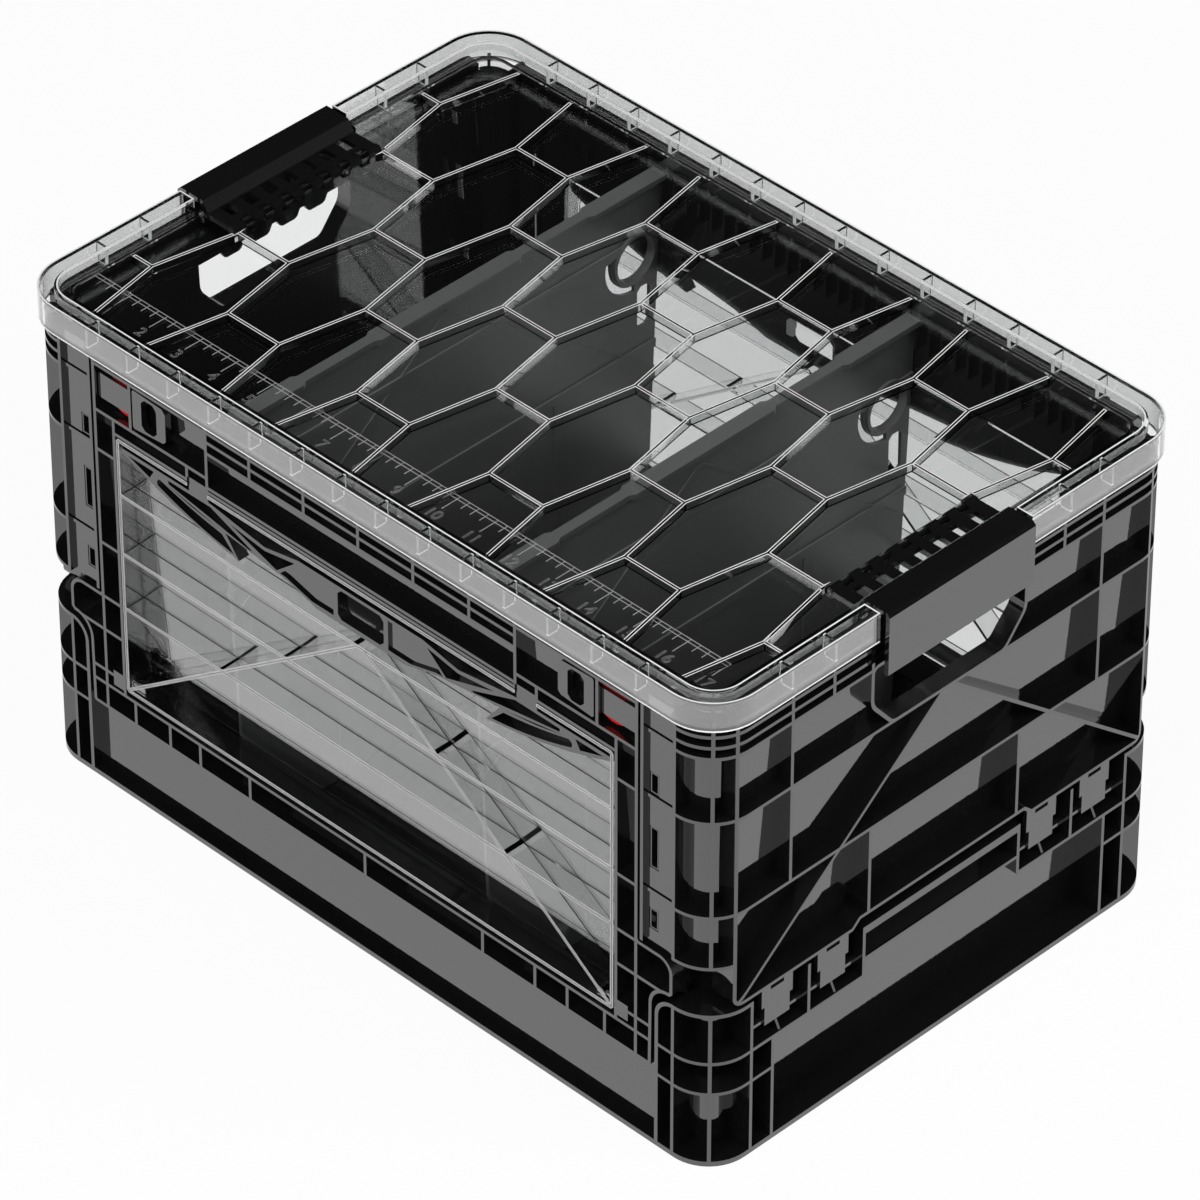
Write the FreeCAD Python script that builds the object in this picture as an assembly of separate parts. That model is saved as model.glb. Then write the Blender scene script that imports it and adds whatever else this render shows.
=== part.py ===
import FreeCAD, Part
import math
import os

# Collapsible crate with a clear lid, clear flip-down doors and two loose dividers.
# Millimetres. X runs along the crate, Y across it, Z up, origin under the middle of the base.
# The front is -Y. The back and left pieces are the front and right ones turned half a turn.

# Overall sizes
base_length = 469.5
base_width = 317.0
corner_radius = 24.0
base_height = 95.0
sill_height = 46.5
lid_height = 285.0
wall_top = lid_height - 13.0
end_plane = base_length / 2
front_plane = -base_width / 2

# Wall build-up: a leaning skin behind ribs that end on one outer plane
skin = 2.4
rib = 1.9
skin_depth_floor = 16.6
skin_taper = 0.042
floor_thickness = 3.0
running_gap = 0.4
part_gap = 1.2
bore_gap = 0.06
small_corner = 2.6

# Base
base_wall_recess = 5.5
base_corner_x = end_plane - 36.75
base_corner_y = base_width / 2 - 28.0
base_corner_depth = 15.0
base_edge_rib = 2.2
base_ring_levels = (base_height - 49.5, base_height - 30.5)
base_band = 4.5
base_deck = 2.2
neck_inset = 18.0
neck_cover = 10.0
base_curve_radius = 12.0
end_panel_half = base_corner_y - 14.5
hinge_pocket_inner = base_corner_y - 76.5
hinge_pocket_mid = base_corner_y - 38.8
beam_drop = 20.0
end_gusset = 1.4

# End wall
end_wall_foot = base_height + 2.5
end_wall_half = base_width / 2 - 16.1
end_foot_radius = 5.0
end_step_half = hinge_pocket_inner + 3.0
end_step_rise = 4.5
end_step_run = 5.0
end_levels = (wall_top - 117.5, wall_top - 60.5, wall_top - 22.0, wall_top - 15.5, wall_top - 9.2)
end_upright_outer = end_wall_half - 36.4
end_upright_lower = hinge_pocket_inner - 2.5
end_upright_inner = end_wall_half - 63.9
post_foot = base_height + 27.5
post_depth = 9.0
post_leg_end = end_plane - 46.85
post_leg_recess = 2.35
post_ring_proud = 0.7
post_slots = ((wall_top - 134.6, 12.6), (wall_top - 91.3, 25.0), (wall_top - 52.6, 12.6))
post_slot_width = 6.0
post_slot_x = post_leg_end + 7.0
handle_half_top = 51.5
handle_half_bottom = 38.0
handle_top = end_levels[2]
handle_bottom = handle_top - 37.5
handle_shoulder = handle_top - 21.0
handle_bar = handle_top - 6.0
handle_rim = 2.0
handle_waves = 4
handle_wave_pitch = 19.0
handle_wave_depth = 4.5

# Long side frame
frame_foot = sill_height + 1.8
frame_waist = base_corner_x - 2.0
frame_ear = end_plane - 25.25
frame_ear_low = base_height + 3.7
frame_ear_high = post_foot - 1.6
frame_half = post_leg_end - 1.6
frame_curve_radius = 11.0
ear_radius = 9.0
door_half = frame_half - 15.9
door_gap = 0.7
frame_levels = (frame_foot + 24.2, frame_ear_low, frame_ear_high - 0.9, end_levels[0] - 0.7, end_levels[1] - 0.2)
frame_upright = frame_half - 1.0
rail_uprights = (0.0, door_half - 88.7, door_half - 52.9, door_half - 31.0, door_half - 5.8, frame_upright)
rail_top = frame_foot + 15.4
rail_split = wall_top - 36.5
lock_top = wall_top - 8.7
door_foot = rail_top + 4.1
door_top = rail_split - 9.9
grille_half = door_half - 64.9
grille_levels = (wall_top - 21.2, wall_top - 14.5, lock_top)
grille_uprights = (0.0, grille_half - 68.1, grille_half - 30.5)
catch_x = grille_half + 7.0
catch_half = 7.2
catch_rise = 3.0
comb_pitch = 8.7
comb_tooth = 1.5
comb_reach = 4.0
comb_low = wall_top - 26.0
comb_half_count = round((frame_half - 3.6) / comb_pitch)

# Slide lock
indicator_x = frame_half - 19.6
indicator_z = wall_top - 22.0
lock_block_outer = frame_half - 2.7
lock_block_low = indicator_z - 7.2
lock_block_high = indicator_z + 7.5
lock_depth_front = 1.9
lock_depth_back = 4.8
lock_bridge = frame_half - 26.8
lock_bridge_depth = 1.4
grip_inner = lock_bridge - 25.5
grip_outer = lock_bridge - 2.1
grip_low = indicator_z - 11.7
grip_high = indicator_z + 11.6
grip_hole_half_x = 5.4
grip_hole_half_z = 9.3
grip_lip = 3.2
lock_travel = 22.0
indicator_radius = 11.5
indicator_thickness = 0.9
indicator_flats = 20

# Clear door and its latch
door_wall = 2.0
door_rib_levels = (door_top - 104.8, door_top - 70.6, door_top - 34.4)
door_apex = door_top - 32.6
door_axis_depth = 4.6
door_axis_rise = 3.4
door_pin_radius = 2.0
door_pin_seat = 7.0
door_boss_half = 3.2
door_boss_length = 12.0
latch_depth_front = 0.8
latch_depth_back = 7.6
latch_plate = 1.4
latch_panel_recess = 1.5
latch_top = door_top - 2.4
latch_flange = latch_top - 3.6
latch_hole_half = 15.8
latch_hole_low = latch_top - 23.2
latch_hole_top = latch_top - 5.5
latch_side_gap = 1.0
latch_half = door_half - door_wall - latch_side_gap
tongue_depth_back = 5.6

# Lid
lid_overhang = 2.75
lid_wall = 2.0
lid_skirt_low = wall_top - 3.0
lid_band = 10.2
lid_step_top = lid_height - 5.0
lid_inner = 14.8
lid_panel_top = lid_height - 11.7
lid_seat_gap = 0.3
hex_pitch = 45.2
hex_row = 49.0
hex_half_edge = 18.0
hex_rib = 2.0
hex_rib_top = lid_panel_top + 4.5
hex_columns = 5

# Lid latch
clip_half = 49.7
latch_notch_half = clip_half + 1.9
clip_outer = end_plane + 6.85
clip_wall = 2.6
clip_low = wall_top - 23.6
clip_top_inner = clip_outer - 17.6
clip_slope_end = clip_outer - 22.1
clip_finger_top = lid_height - 6.2
clip_finger_thickness = 3.0
clip_pin_x = clip_outer - 38.6
clip_pin_z = lid_height - 8.0
clip_pin_radius = 1.4
clip_barrel = 2.8
clip_lug_reach = 3.0
clip_band_start = 3.8
clip_band = 3.6
clip_pitch = 13.06
clip_teeth = 7
clip_tooth_width = 5.4

# Wall hinges
end_pin_radius = 2.2
end_pin_depth = 6.0
end_pin_z = base_height - 21.4
end_clip_y = (hinge_pocket_mid - 18.9, hinge_pocket_mid + 19.1)
end_clip_width = 21.0
end_clip_foot = end_pin_z - 1.9
end_clip_waist = end_pin_z + 9.4
end_clip_recess = 2.6
end_clip_thickness = 2.4
end_clip_hook = 1.8
end_clip_slot = (9.0, 3.5)
frame_pin_radius = 1.8
frame_pin_depth = 13.0
frame_pin_z = sill_height - 4.0
frame_hook_half = 5.0
frame_lug = 4.0
frame_lug_reach = 3.4
frame_hinges = (grille_half - 17.5,)

# Dividers
divider_slots = (-12, 8)
divider_wall = 2.0
divider_top = wall_top - 10.0
divider_foot = 4.0
divider_bar = 9.6
divider_bar_height = 3.0
divider_clearance = 0.9
divider_bead = 1.1
divider_bead_levels = (divider_top - 103.0, divider_top - 34.5)
divider_waist = (47.0, 99.0)
divider_waist_cut = 1.8
divider_hole_edge = 17.0
divider_hole_z = divider_top - 44.0
divider_hole_radius = 13.0
divider_hole_flats = 24
divider_arc_inner = 16.5
divider_arc_outer = 20.5
divider_slot_edge = 8.5
divider_slot_low = divider_top - 89.0
divider_slot_high = divider_top - 64.0
divider_slot_width = 9.0


# Small helpers

def skin_depth(z):
    return skin_depth_floor - skin_taper * z


def box(x0, x1, y0, y1, z0, z1):
    corner = FreeCAD.Vector(min(x0, x1), min(y0, y1), min(z0, z1))
    return Part.makeBox(abs(x1 - x0), abs(y1 - y0), abs(z1 - z0), corner)


def cylinder(radius, start, direction, length):
    return Part.makeCylinder(radius, length, FreeCAD.Vector(*start), FreeCAD.Vector(*direction))


def placed(axis, u, v, level):
    if axis == "x":
        return FreeCAD.Vector(level, u, v)
    if axis == "y":
        return FreeCAD.Vector(u, level, v)
    return FreeCAD.Vector(u, v, level)


def loop(points, axis, level):
    """Closed wire through (u, v, radius) corners, each rounded by its own radius; small ones are cut flat."""
    count = len(points)
    ends = []
    for i in range(count):
        u, v, radius = points[i]
        before = FreeCAD.Vector(points[i - 1][0] - u, points[i - 1][1] - v, 0)
        after = FreeCAD.Vector(points[(i + 1) % count][0] - u, points[(i + 1) % count][1] - v, 0)
        here = FreeCAD.Vector(u, v, 0)
        if radius <= 0:
            ends.append((here, None, here))
            continue
        before.normalize()
        after.normalize()
        half = before.getAngle(after) / 2
        reach = radius / math.tan(half)
        inward = before + after
        inward.normalize()
        middle = here + inward * (radius / math.sin(half) - radius)
        if radius < small_corner:
            middle = None
        ends.append((here + before * reach, middle, here + after * reach))
    edges = []
    for i in range(count):
        first, middle, last = ends[i]
        if middle is not None:
            edges.append(Part.Arc(*[placed(axis, p.x, p.y, level) for p in (first, middle, last)]).toShape())
        elif (last - first).Length > 1e-6:
            start = placed(axis, first.x, first.y, level)
            edges.append(Part.LineSegment(start, placed(axis, last.x, last.y, level)).toShape())
        following = ends[(i + 1) % count][0]
        if (following - last).Length > 1e-6:
            start = placed(axis, last.x, last.y, level)
            edges.append(Part.LineSegment(start, placed(axis, following.x, following.y, level)).toShape())
    return Part.Wire(edges)


def plate(points, axis, low, high):
    """Solid plate: a rounded outline pushed from one level to another along an axis."""
    return Part.Face(loop(points, axis, low)).extrude(placed(axis, 0, 0, high - low))


def edge_strip(points, axis, low, high, thickness):
    """The border of a plate, of one thickness all round."""
    outer = loop(points, axis, low)
    inner = outer.makeOffset2D(-thickness)
    if inner.BoundBox.DiagonalLength > outer.BoundBox.DiagonalLength:
        inner = outer.makeOffset2D(thickness)
    direction = placed(axis, 0, 0, high - low)
    return Part.Face(outer).extrude(direction).cut(Part.Face(inner).extrude(direction))


def sharp(points):
    return [(u, v, 0) for u, v in points]


def bar(start, end, thickness, axis, low, high):
    """A straight rib of one thickness between two points of a plane."""
    along = FreeCAD.Vector(end[0] - start[0], end[1] - start[1], 0)
    along.normalize()
    side = FreeCAD.Vector(-along.y, along.x, 0) * (thickness / 2)
    corners = [(start[0] + side.x, start[1] + side.y), (end[0] + side.x, end[1] + side.y),
               (end[0] - side.x, end[1] - side.y), (start[0] - side.x, start[1] - side.y)]
    return plate(sharp(corners), axis, low, high)


def flat_sided(count, radius, axis, u, v, low, high):
    """Straight bar or hole with flat sides, each at the radius from its middle line."""
    corner = radius / math.cos(math.pi / count)
    points = []
    for k in range(count):
        angle = math.pi * (2 * k + 1) / count
        points.append((u + corner * math.cos(angle), v + corner * math.sin(angle)))
    return plate(sharp(points), axis, low, high)


def outline_points(inset):
    x = base_length / 2 - inset
    y = base_width / 2 - inset
    radius = max(corner_radius - inset, 1.0)
    return [(-x, -y, radius), (x, -y, radius), (x, y, radius), (-x, y, radius)]


def slab(inset, low, high):
    return plate(outline_points(inset), "z", low, high)


def ring(outer_inset, inner_inset, low, high):
    return slab(outer_inset, low, high).cut(slab(inner_inset, low, high))


def joined(shapes):
    if len(shapes) == 1:
        return shapes[0]
    return shapes[0].multiFuse(shapes[1:]).removeSplitter()


def turned(shape):
    copy = shape.copy()
    copy.rotate(FreeCAD.Vector(0, 0, 0), FreeCAD.Vector(0, 0, 1), 180)
    return copy


def mirrored_x(shape):
    return shape.mirror(FreeCAD.Vector(0, 0, 0), FreeCAD.Vector(1, 0, 0))


def mirrored_y(shape):
    return shape.mirror(FreeCAD.Vector(0, 0, 0), FreeCAD.Vector(0, 1, 0))


def end_wedge(low, high, half, front, back):
    """Leaning slice of the right end wall, from one depth behind the plane to another."""
    points = [(end_plane - front(low), low), (end_plane - front(high), high),
              (end_plane - back(high), high), (end_plane - back(low), low)]
    return plate(sharp(points), "y", -half, half)


def front_wedge(low, high, half, front, back):
    points = [(front_plane + front(low), low), (front_plane + front(high), high),
              (front_plane + back(high), high), (front_plane + back(low), low)]
    return plate(sharp(points), "x", -half, half)


def at_plane(z):
    return 0.0


def behind_skin(z):
    return skin_depth(z) + skin


# Base tray

def base_corner():
    """Front right corner of the base: ribbed outside, with a deck under the post and a neck behind it."""
    x0 = base_corner_x
    y0 = -base_corner_y + rib / 2
    top = base_height
    inner = base_corner_depth + skin
    deep = neck_inset + skin
    zone = box(x0, end_plane, front_plane, y0, 0, top)
    pieces = [ring(base_corner_depth, inner, 0, top), ring(0, deep, top - base_deck, top)]
    for level in base_ring_levels:
        pieces.append(ring(0, inner, level - rib / 2, level + rib / 2))
    shell = joined(pieces).common(zone)
    side = [(x0, 0, 0), (end_plane + 1, 0, 0), (end_plane + 1, top, 0), (x0, top, base_curve_radius)]
    curved = box(x0, x0 + base_curve_radius, front_plane, front_plane + deep, 0, top)
    shell = shell.cut(curved.cut(plate(side, "y", front_plane, front_plane + deep)))
    border = edge_strip(side, "y", front_plane, front_plane + inner, base_edge_rib).common(curved)
    upright = box(post_root() - rib / 2, post_root() + rib / 2, front_plane, front_plane + inner, 0, top)
    return joined([shell, border, upright, corner_spoke(inner, 0, top)] + base_neck())


def base_neck():
    """Low wall behind the open corner between the base and the post, bent once at 45 degrees."""
    x = end_plane - neck_inset - skin / 2
    y = front_plane + neck_inset + skin / 2
    bend = corner_radius - neck_inset
    path = [(frame_ear - neck_cover, y), (x - bend, y), (x, y + bend), (x, -end_wall_half + neck_cover)]
    low = base_height - base_deck
    return [bar(path[i], path[i + 1], skin, "z", low, post_foot - part_gap) for i in range(3)]


def corner_spoke(inner, low, high):
    """Upright rib across the rounded front right corner, half way round it."""
    centre = (end_plane - corner_radius, front_plane + corner_radius)
    outward = math.sqrt(0.5)
    near = (corner_radius - inner) * outward
    far = corner_radius * outward
    spoke = bar((centre[0] + near, centre[1] - near), (centre[0] + far, centre[1] - far), rib, "z", low, high)
    return spoke.common(slab(0, low, high))


def post_root():
    return end_plane - corner_radius - 1.0


def base_end():
    """Right end of the base between its corners: leaning skin, ribs, beam and the hinge bars in their pockets."""
    half = base_corner_y
    back = end_plane - skin_depth_floor - skin
    floor = base_ring_levels[1]
    wedge = end_wedge(0, base_height, half + rib / 2, at_plane, behind_skin)
    ribs = []
    for side in (-1, 1):
        y = side * base_corner_y
        ribs.append(box(back, end_plane, y - rib / 2, y + rib / 2, 0, base_height))
        y = side * end_panel_half
        ribs.append(box(back, end_plane, y - rib / 2, y + rib / 2, 0, floor))
        for y in (side * hinge_pocket_mid, side * hinge_pocket_inner):
            ribs.append(box(back, end_plane, y - rib / 2, y + rib / 2, floor, base_height))
        ribs.append(box(back, end_plane, side * hinge_pocket_inner, side * base_corner_y,
                        floor - rib / 2, floor + rib / 2))
        ribs.append(box(back, end_plane, side * end_panel_half, side * base_corner_y,
                        base_ring_levels[0] - rib / 2, base_ring_levels[0] + rib / 2))
        low, high = sorted((side * hinge_pocket_inner, side * base_corner_y))
        ribs.append(flat_sided(8, end_pin_radius, "y", end_plane - end_pin_depth, end_pin_z, low, high))
        for y in end_clip_y:
            ribs.append(hinge_bar_gusset(side * y))
    beam_low = base_height - beam_drop
    ribs.append(box(back, end_plane, -hinge_pocket_inner, hinge_pocket_inner,
                    base_height - base_band, base_height))
    ribs.append(box(back, end_plane, -hinge_pocket_inner, hinge_pocket_inner,
                    beam_low - rib / 2, beam_low + rib / 2))
    panel = end_wedge(0, base_height, half + rib / 2, skin_depth, behind_skin)
    return joined([joined(ribs).common(wedge), panel])


def hinge_bar_gusset(y):
    """Small web that carries a hinge bar from the floor of its pocket."""
    floor = base_ring_levels[1]
    top = end_pin_z - end_pin_radius / 2
    axis_x = end_plane - end_pin_depth
    points = [(end_plane - 0.5, floor), (axis_x + 1.4, top), (axis_x - 1.4, top),
              (axis_x - end_pin_depth, floor)]
    return plate(sharp(points), "y", y - end_gusset / 2, y + end_gusset / 2)


def base_side():
    """Low front wall of the base with the bars that the long frame hooks on."""
    y0 = front_plane + base_wall_recess
    axis_y = front_plane + frame_pin_depth
    pieces = [box(-base_corner_x, base_corner_x, y0, y0 + skin, 0, sill_height)]
    reach = frame_hook_half + running_gap
    for x in frame_hinges:
        for centre in (-x, x):
            pieces.append(flat_sided(8, frame_pin_radius, "x", axis_y, frame_pin_z, centre - reach, centre + reach))
            for step in (-1, 1):
                pieces.append(box(centre + step * reach, centre + step * (reach + frame_lug), y0 + skin / 2,
                                  axis_y + frame_lug_reach, frame_pin_z - frame_lug_reach,
                                  frame_pin_z + frame_lug_reach))
    return joined(pieces)


def base_tray():
    corner = base_corner()
    back_corner = mirrored_y(corner)
    right = [corner, back_corner, base_end()]
    left = [turned(piece) for piece in right]
    front = base_side()
    floor = slab(0, 0, floor_thickness)
    return joined([floor, front, turned(front)] + right + left)


# End wall with the corner posts

def end_panel_points():
    half = end_wall_half
    foot = end_wall_foot
    step = end_step_half
    run = step + end_step_run
    return [(-half, wall_top, 0), (-half, foot, end_foot_radius), (-run, foot, 0),
            (-step, foot + end_step_rise, 0), (step, foot + end_step_rise, 0), (run, foot, 0),
            (half, foot, end_foot_radius), (half, wall_top, 0)]


def handle_points(grow):
    return [(-handle_half_top - grow, handle_top + grow, 3.0 + grow),
            (-handle_half_top - grow, handle_shoulder - grow * 0.4, 10.0),
            (-handle_half_bottom - grow * 0.4, handle_bottom - grow, 6.0),
            (handle_half_bottom + grow * 0.4, handle_bottom - grow, 6.0),
            (handle_half_top + grow, handle_shoulder - grow * 0.4, 10.0),
            (handle_half_top + grow, handle_top + grow, 3.0 + grow)]


def end_panel():
    """Flat part of the right end wall: skin, rib grid, diagonals and the handle."""
    back = end_plane - skin_depth_floor - skin
    points = end_panel_points()
    wedge = end_wedge(end_wall_foot, wall_top, end_wall_half, at_plane, behind_skin)
    ribs = [edge_strip(points, "x", back, end_plane, rib)]
    half = end_wall_half
    for level in end_levels:
        ribs.append(box(back, end_plane, -half, half, level - rib / 2, level + rib / 2))
    first, second, third = end_levels[0:3]
    for side in (-1, 1):
        for y, low, high in ((end_upright_outer, first, wall_top), (end_upright_inner, third, wall_top),
                             (end_upright_lower + 1, third, wall_top)):
            ribs.append(box(back, end_plane, side * y - rib / 2, side * y + rib / 2, low, high))
        y = side * end_upright_lower
        ribs.append(box(back, end_plane, y - rib / 2, y + rib / 2, end_wall_foot + end_step_rise, first))
        ribs.append(bar((side * (half - 3), end_wall_foot + 2), (side * 3, second), rib, "x", back, end_plane))
    tunnel = plate(handle_points(handle_rim), "x", back, end_plane)
    grid = joined(ribs + [tunnel]).common(wedge)
    panel = end_wedge(end_wall_foot, wall_top, half, skin_depth, behind_skin)
    panel = panel.common(plate(points, "x", back, end_plane))
    room = slab(0, end_wall_foot, wall_top)
    opening = plate(handle_points(0), "x", back - 1, end_plane + 1).cut(handle_finger_bar())
    return joined([grid, panel]).common(room).cut(opening)


def handle_finger_bar():
    """Bar with four finger scallops that the skin keeps along the top of the handle opening."""
    back = end_plane - skin_depth_floor - skin
    half = handle_half_top + 1
    pieces = [box(back, end_plane, -half, half, handle_bar, handle_top + 1)]
    for k in range(handle_waves):
        y = (k - (handle_waves - 1) / 2) * handle_wave_pitch
        root = handle_wave_pitch * 0.45
        crest = handle_wave_pitch * 0.28
        low = handle_bar - handle_wave_depth
        pieces.append(plate([(y - root, handle_bar + 1, 0), (y - crest, low, 2.0), (y + crest, low, 2.0),
                             (y + root, handle_bar + 1, 0)], "x", back, end_plane))
    skin_zone = end_wedge(handle_bottom, handle_top + 1, half, skin_depth, behind_skin)
    return joined(pieces).common(skin_zone)


def corner_post():
    """Front right corner post with its leg along the long side."""
    inner = post_depth + skin
    root = post_root()
    zone = box(root - rib / 2, end_plane, front_plane, -end_wall_half + rib, post_foot, wall_top)
    pieces = [ring(post_depth, inner, post_foot, wall_top)]
    levels = (post_foot + rib / 2,) + end_levels
    for level in levels:
        pieces.append(ring(0, inner, level - rib / 2, level + rib / 2))
    shell = joined(pieces).common(zone)
    face = front_plane + post_leg_recess
    leg = box(post_leg_end, root + rib / 2, face, face + skin, post_foot, wall_top)
    for centre, tall in post_slots:
        leg = leg.cut(box(post_slot_x - post_slot_width / 2, post_slot_x + post_slot_width / 2,
                          face - 1, face + skin + 1, centre - tall / 2, centre + tall / 2))
    trims = []
    for level in [level for level in end_levels[0:3] if level > post_foot]:
        trims.append(box(post_leg_end, root, face - post_ring_proud, face, level - rib / 2, level + rib / 2))
    edge = box(post_leg_end, post_leg_end + rib, front_plane, front_plane + inner, post_foot, wall_top)
    lock_hole = box(post_leg_end - 1, post_leg_end + rib + 3,
                    front_plane + lock_depth_front + 1 - running_gap, front_plane + lock_depth_back + running_gap,
                    indicator_z - 4 - running_gap, indicator_z + 4 + running_gap)
    upright = box(root - rib / 2, root + rib / 2, front_plane, front_plane + inner, post_foot, wall_top)
    spoke = corner_spoke(inner, post_foot, wall_top)
    return joined([shell, leg, edge, upright, spoke] + trims).cut(lock_hole)


def end_wall():
    post = corner_post()
    return joined([end_panel(), post, mirrored_y(post)])


def end_hinge_clips():
    """Four snap tabs under the end wall, hooked over the hinge bars of the base."""
    clips = []
    front = end_plane - end_clip_recess
    axis_x = end_plane - end_pin_depth
    top = end_wall_foot
    grip = end_pin_radius + bore_gap
    for centre in end_clip_y:
        for y in (-centre, centre):
            half = end_clip_width / 2
            waist = half - 2.0
            face = sharp([(y - half, top), (y - half, end_clip_waist), (y - waist, end_clip_waist),
                          (y - waist, end_clip_foot), (y + waist, end_clip_foot),
                          (y + waist, end_clip_waist), (y + half, end_clip_waist), (y + half, top)])
            tab = plate(face, "x", front - end_clip_thickness, front)
            hook = box(axis_x - grip - end_clip_hook, front, y - waist, y + waist,
                       end_pin_z - end_pin_radius / 2, end_pin_z + grip + end_clip_hook)
            eye = flat_sided(8, grip, "y", axis_x, end_pin_z, y - half, y + half)
            mouth = box(axis_x - grip, axis_x + grip, y - half, y + half, end_clip_foot - 1, end_pin_z)
            slot = box(front - end_clip_thickness - 1, front + 1, y - end_clip_slot[0] / 2,
                       y + end_clip_slot[0] / 2, top - 2 - end_clip_slot[1], top - 2)
            clips.append(joined([tab, hook]).cut(eye).cut(mouth).cut(slot))
    return Part.makeCompound(clips)


# Long side frame

def frame_points():
    half = [(frame_waist - 0.5, frame_foot, 1.0), (frame_waist, frame_ear_low, frame_curve_radius),
            (frame_ear, frame_ear_low, 2.0), (frame_ear, frame_ear_high, ear_radius),
            (frame_half, frame_ear_high, 1.0), (frame_half, wall_top, 0)]
    return half + [(-x, z, radius) for x, z, radius in reversed(half)]


def frame_ribs(back):
    """Every rib of the front frame, as deep as the deepest skin."""
    def upright(x, low, high):
        return box(x - rib / 2, x + rib / 2, front_plane, back, low, high)

    def level(x0, x1, z):
        return box(x0, x1, front_plane, back, z - rib / 2, z + rib / 2)

    open_half = door_half + door_gap
    ribs = [edge_strip(frame_points(), "y", front_plane, back, rib)]
    ribs.append(level(-frame_waist, frame_waist, rail_top))
    ribs.append(level(-open_half - rib, open_half + rib, door_top + door_gap + rib / 2))
    for z in grille_levels:
        ribs.append(level(-grille_half, grille_half, z))
    ribs.append(level(-grille_half, grille_half, rail_split - 5.5))
    for side in (-1, 1):
        for x in rail_uprights:
            ribs.append(upright(side * x, frame_foot, rail_top))
        ribs.append(upright(side * frame_upright, rail_top, wall_top))
        ribs.append(upright(side * (open_half + rib / 2), rail_top, rail_split))
        for z in frame_levels:
            ribs.append(level(*sorted((side * open_half, side * frame_ear)), z))
        ribs.append(level(*sorted((side * grille_half, side * frame_half)), rail_split))
        ribs.append(level(*sorted((side * grille_half, side * frame_half)), lock_top))
        ribs.append(upright(side * grille_half, door_top, wall_top))
        ribs.append(upright(side * (catch_x + catch_half), door_top, rail_split))
        for x in grille_uprights:
            ribs.append(upright(side * x, grille_levels[0], wall_top))
    return ribs


def long_frame():
    """Front frame round the door opening, with the lock pockets and the divider comb."""
    back = front_plane + skin_depth_floor + skin
    points = frame_points()
    wedge = front_wedge(frame_foot, wall_top, frame_ear, at_plane, behind_skin)
    outline = plate(points, "y", front_plane, back)
    grid = joined(frame_ribs(back)).common(wedge).common(outline)
    panel = front_wedge(frame_foot, wall_top, frame_ear, skin_depth, behind_skin).common(outline)
    open_half = door_half + door_gap
    opening = box(-open_half, open_half, front_plane - 1, back + 1,
                  rail_top + rib / 2, door_top + door_gap)
    cuts = []
    bosses = []
    bridges = []
    teeth = []
    axis = (front_plane + door_axis_depth, door_foot + door_axis_rise)
    for side in (-1, 1):
        low, high = sorted((side * (grille_half + rib / 2), side * (frame_upright - rib / 2)))
        cuts.append(box(low, high, front_plane - 1, front_plane + lock_depth_back + running_gap,
                        rail_split + rib / 2, lock_top - rib / 2))
        low, high = sorted((side * lock_block_outer, side * (frame_half + 1)))
        cuts.append(box(low, high, front_plane + lock_depth_front + 1 - running_gap,
                        front_plane + lock_depth_back + running_gap,
                        indicator_z - 4 - running_gap, indicator_z + 4 + running_gap))
        low, high = sorted((side * (catch_x - catch_half), side * (catch_x + catch_half)))
        cuts.append(box(low, high, front_plane - 1, front_plane + tongue_depth_back + running_gap,
                        door_top - 1, door_top + door_gap + catch_rise))
        bridges.append(box(side * (lock_bridge - rib / 2), side * (lock_bridge + rib / 2), front_plane,
                           front_plane + lock_bridge_depth, rail_split, lock_top))
        start = (side * open_half, axis[0], axis[1])
        low, high = sorted((side * open_half, side * (open_half + door_pin_seat + 2)))
        bosses.append(box(low, high, front_plane, axis[0] + door_boss_half + 1.5,
                          axis[1] - door_boss_half - 1.5, axis[1] + door_boss_half + 1.5))
        cuts.append(cylinder(door_pin_radius + bore_gap, start, (side, 0, 0), door_pin_seat + 0.5))
    for k in range(-comb_half_count, comb_half_count):
        x = (k + 0.5) * comb_pitch
        tooth = front_wedge(comb_low, divider_comb_top(), frame_half, skin_depth, comb_face)
        teeth.append(tooth.common(box(x - comb_tooth / 2, x + comb_tooth / 2, front_plane, 0, 0, wall_top)))
    hooks = [frame_hook(side * x) for x in frame_hinges for side in (-1, 1)]
    body = joined([grid, panel] + hooks).cut(opening)
    body = joined([body] + bosses + teeth)
    for cut in cuts:
        body = body.cut(cut)
    return joined([body] + bridges)


def frame_hook(x):
    """Hook under the front frame that holds a bar of the base."""
    axis_y = front_plane + frame_pin_depth
    grip = frame_pin_radius + bore_gap
    low = frame_pin_z - frame_pin_radius / 2
    hook = box(x - frame_hook_half, x + frame_hook_half, axis_y - frame_lug_reach, axis_y + frame_lug_reach,
               low, frame_foot + rib)
    eye = flat_sided(8, grip, "x", axis_y, frame_pin_z, x - frame_hook_half, x + frame_hook_half)
    mouth = box(x - frame_hook_half, x + frame_hook_half, axis_y - grip, axis_y + grip, low, frame_pin_z)
    return hook.cut(eye).cut(mouth)


def divider_comb_top():
    return divider_top - divider_bar_height - 0.3


def comb_face(z):
    return skin_depth(z) + skin + comb_reach


def lock_indicators():
    """Two coloured discs behind the slide locks of the front frame."""
    discs = []
    depth = lock_depth_back + running_gap
    for side in (-1, 1):
        low = front_plane + depth - indicator_thickness
        discs.append(flat_sided(indicator_flats, indicator_radius, "y", side * indicator_x, indicator_z,
                                low, low + indicator_thickness))
    return discs


# Slide lock

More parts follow.
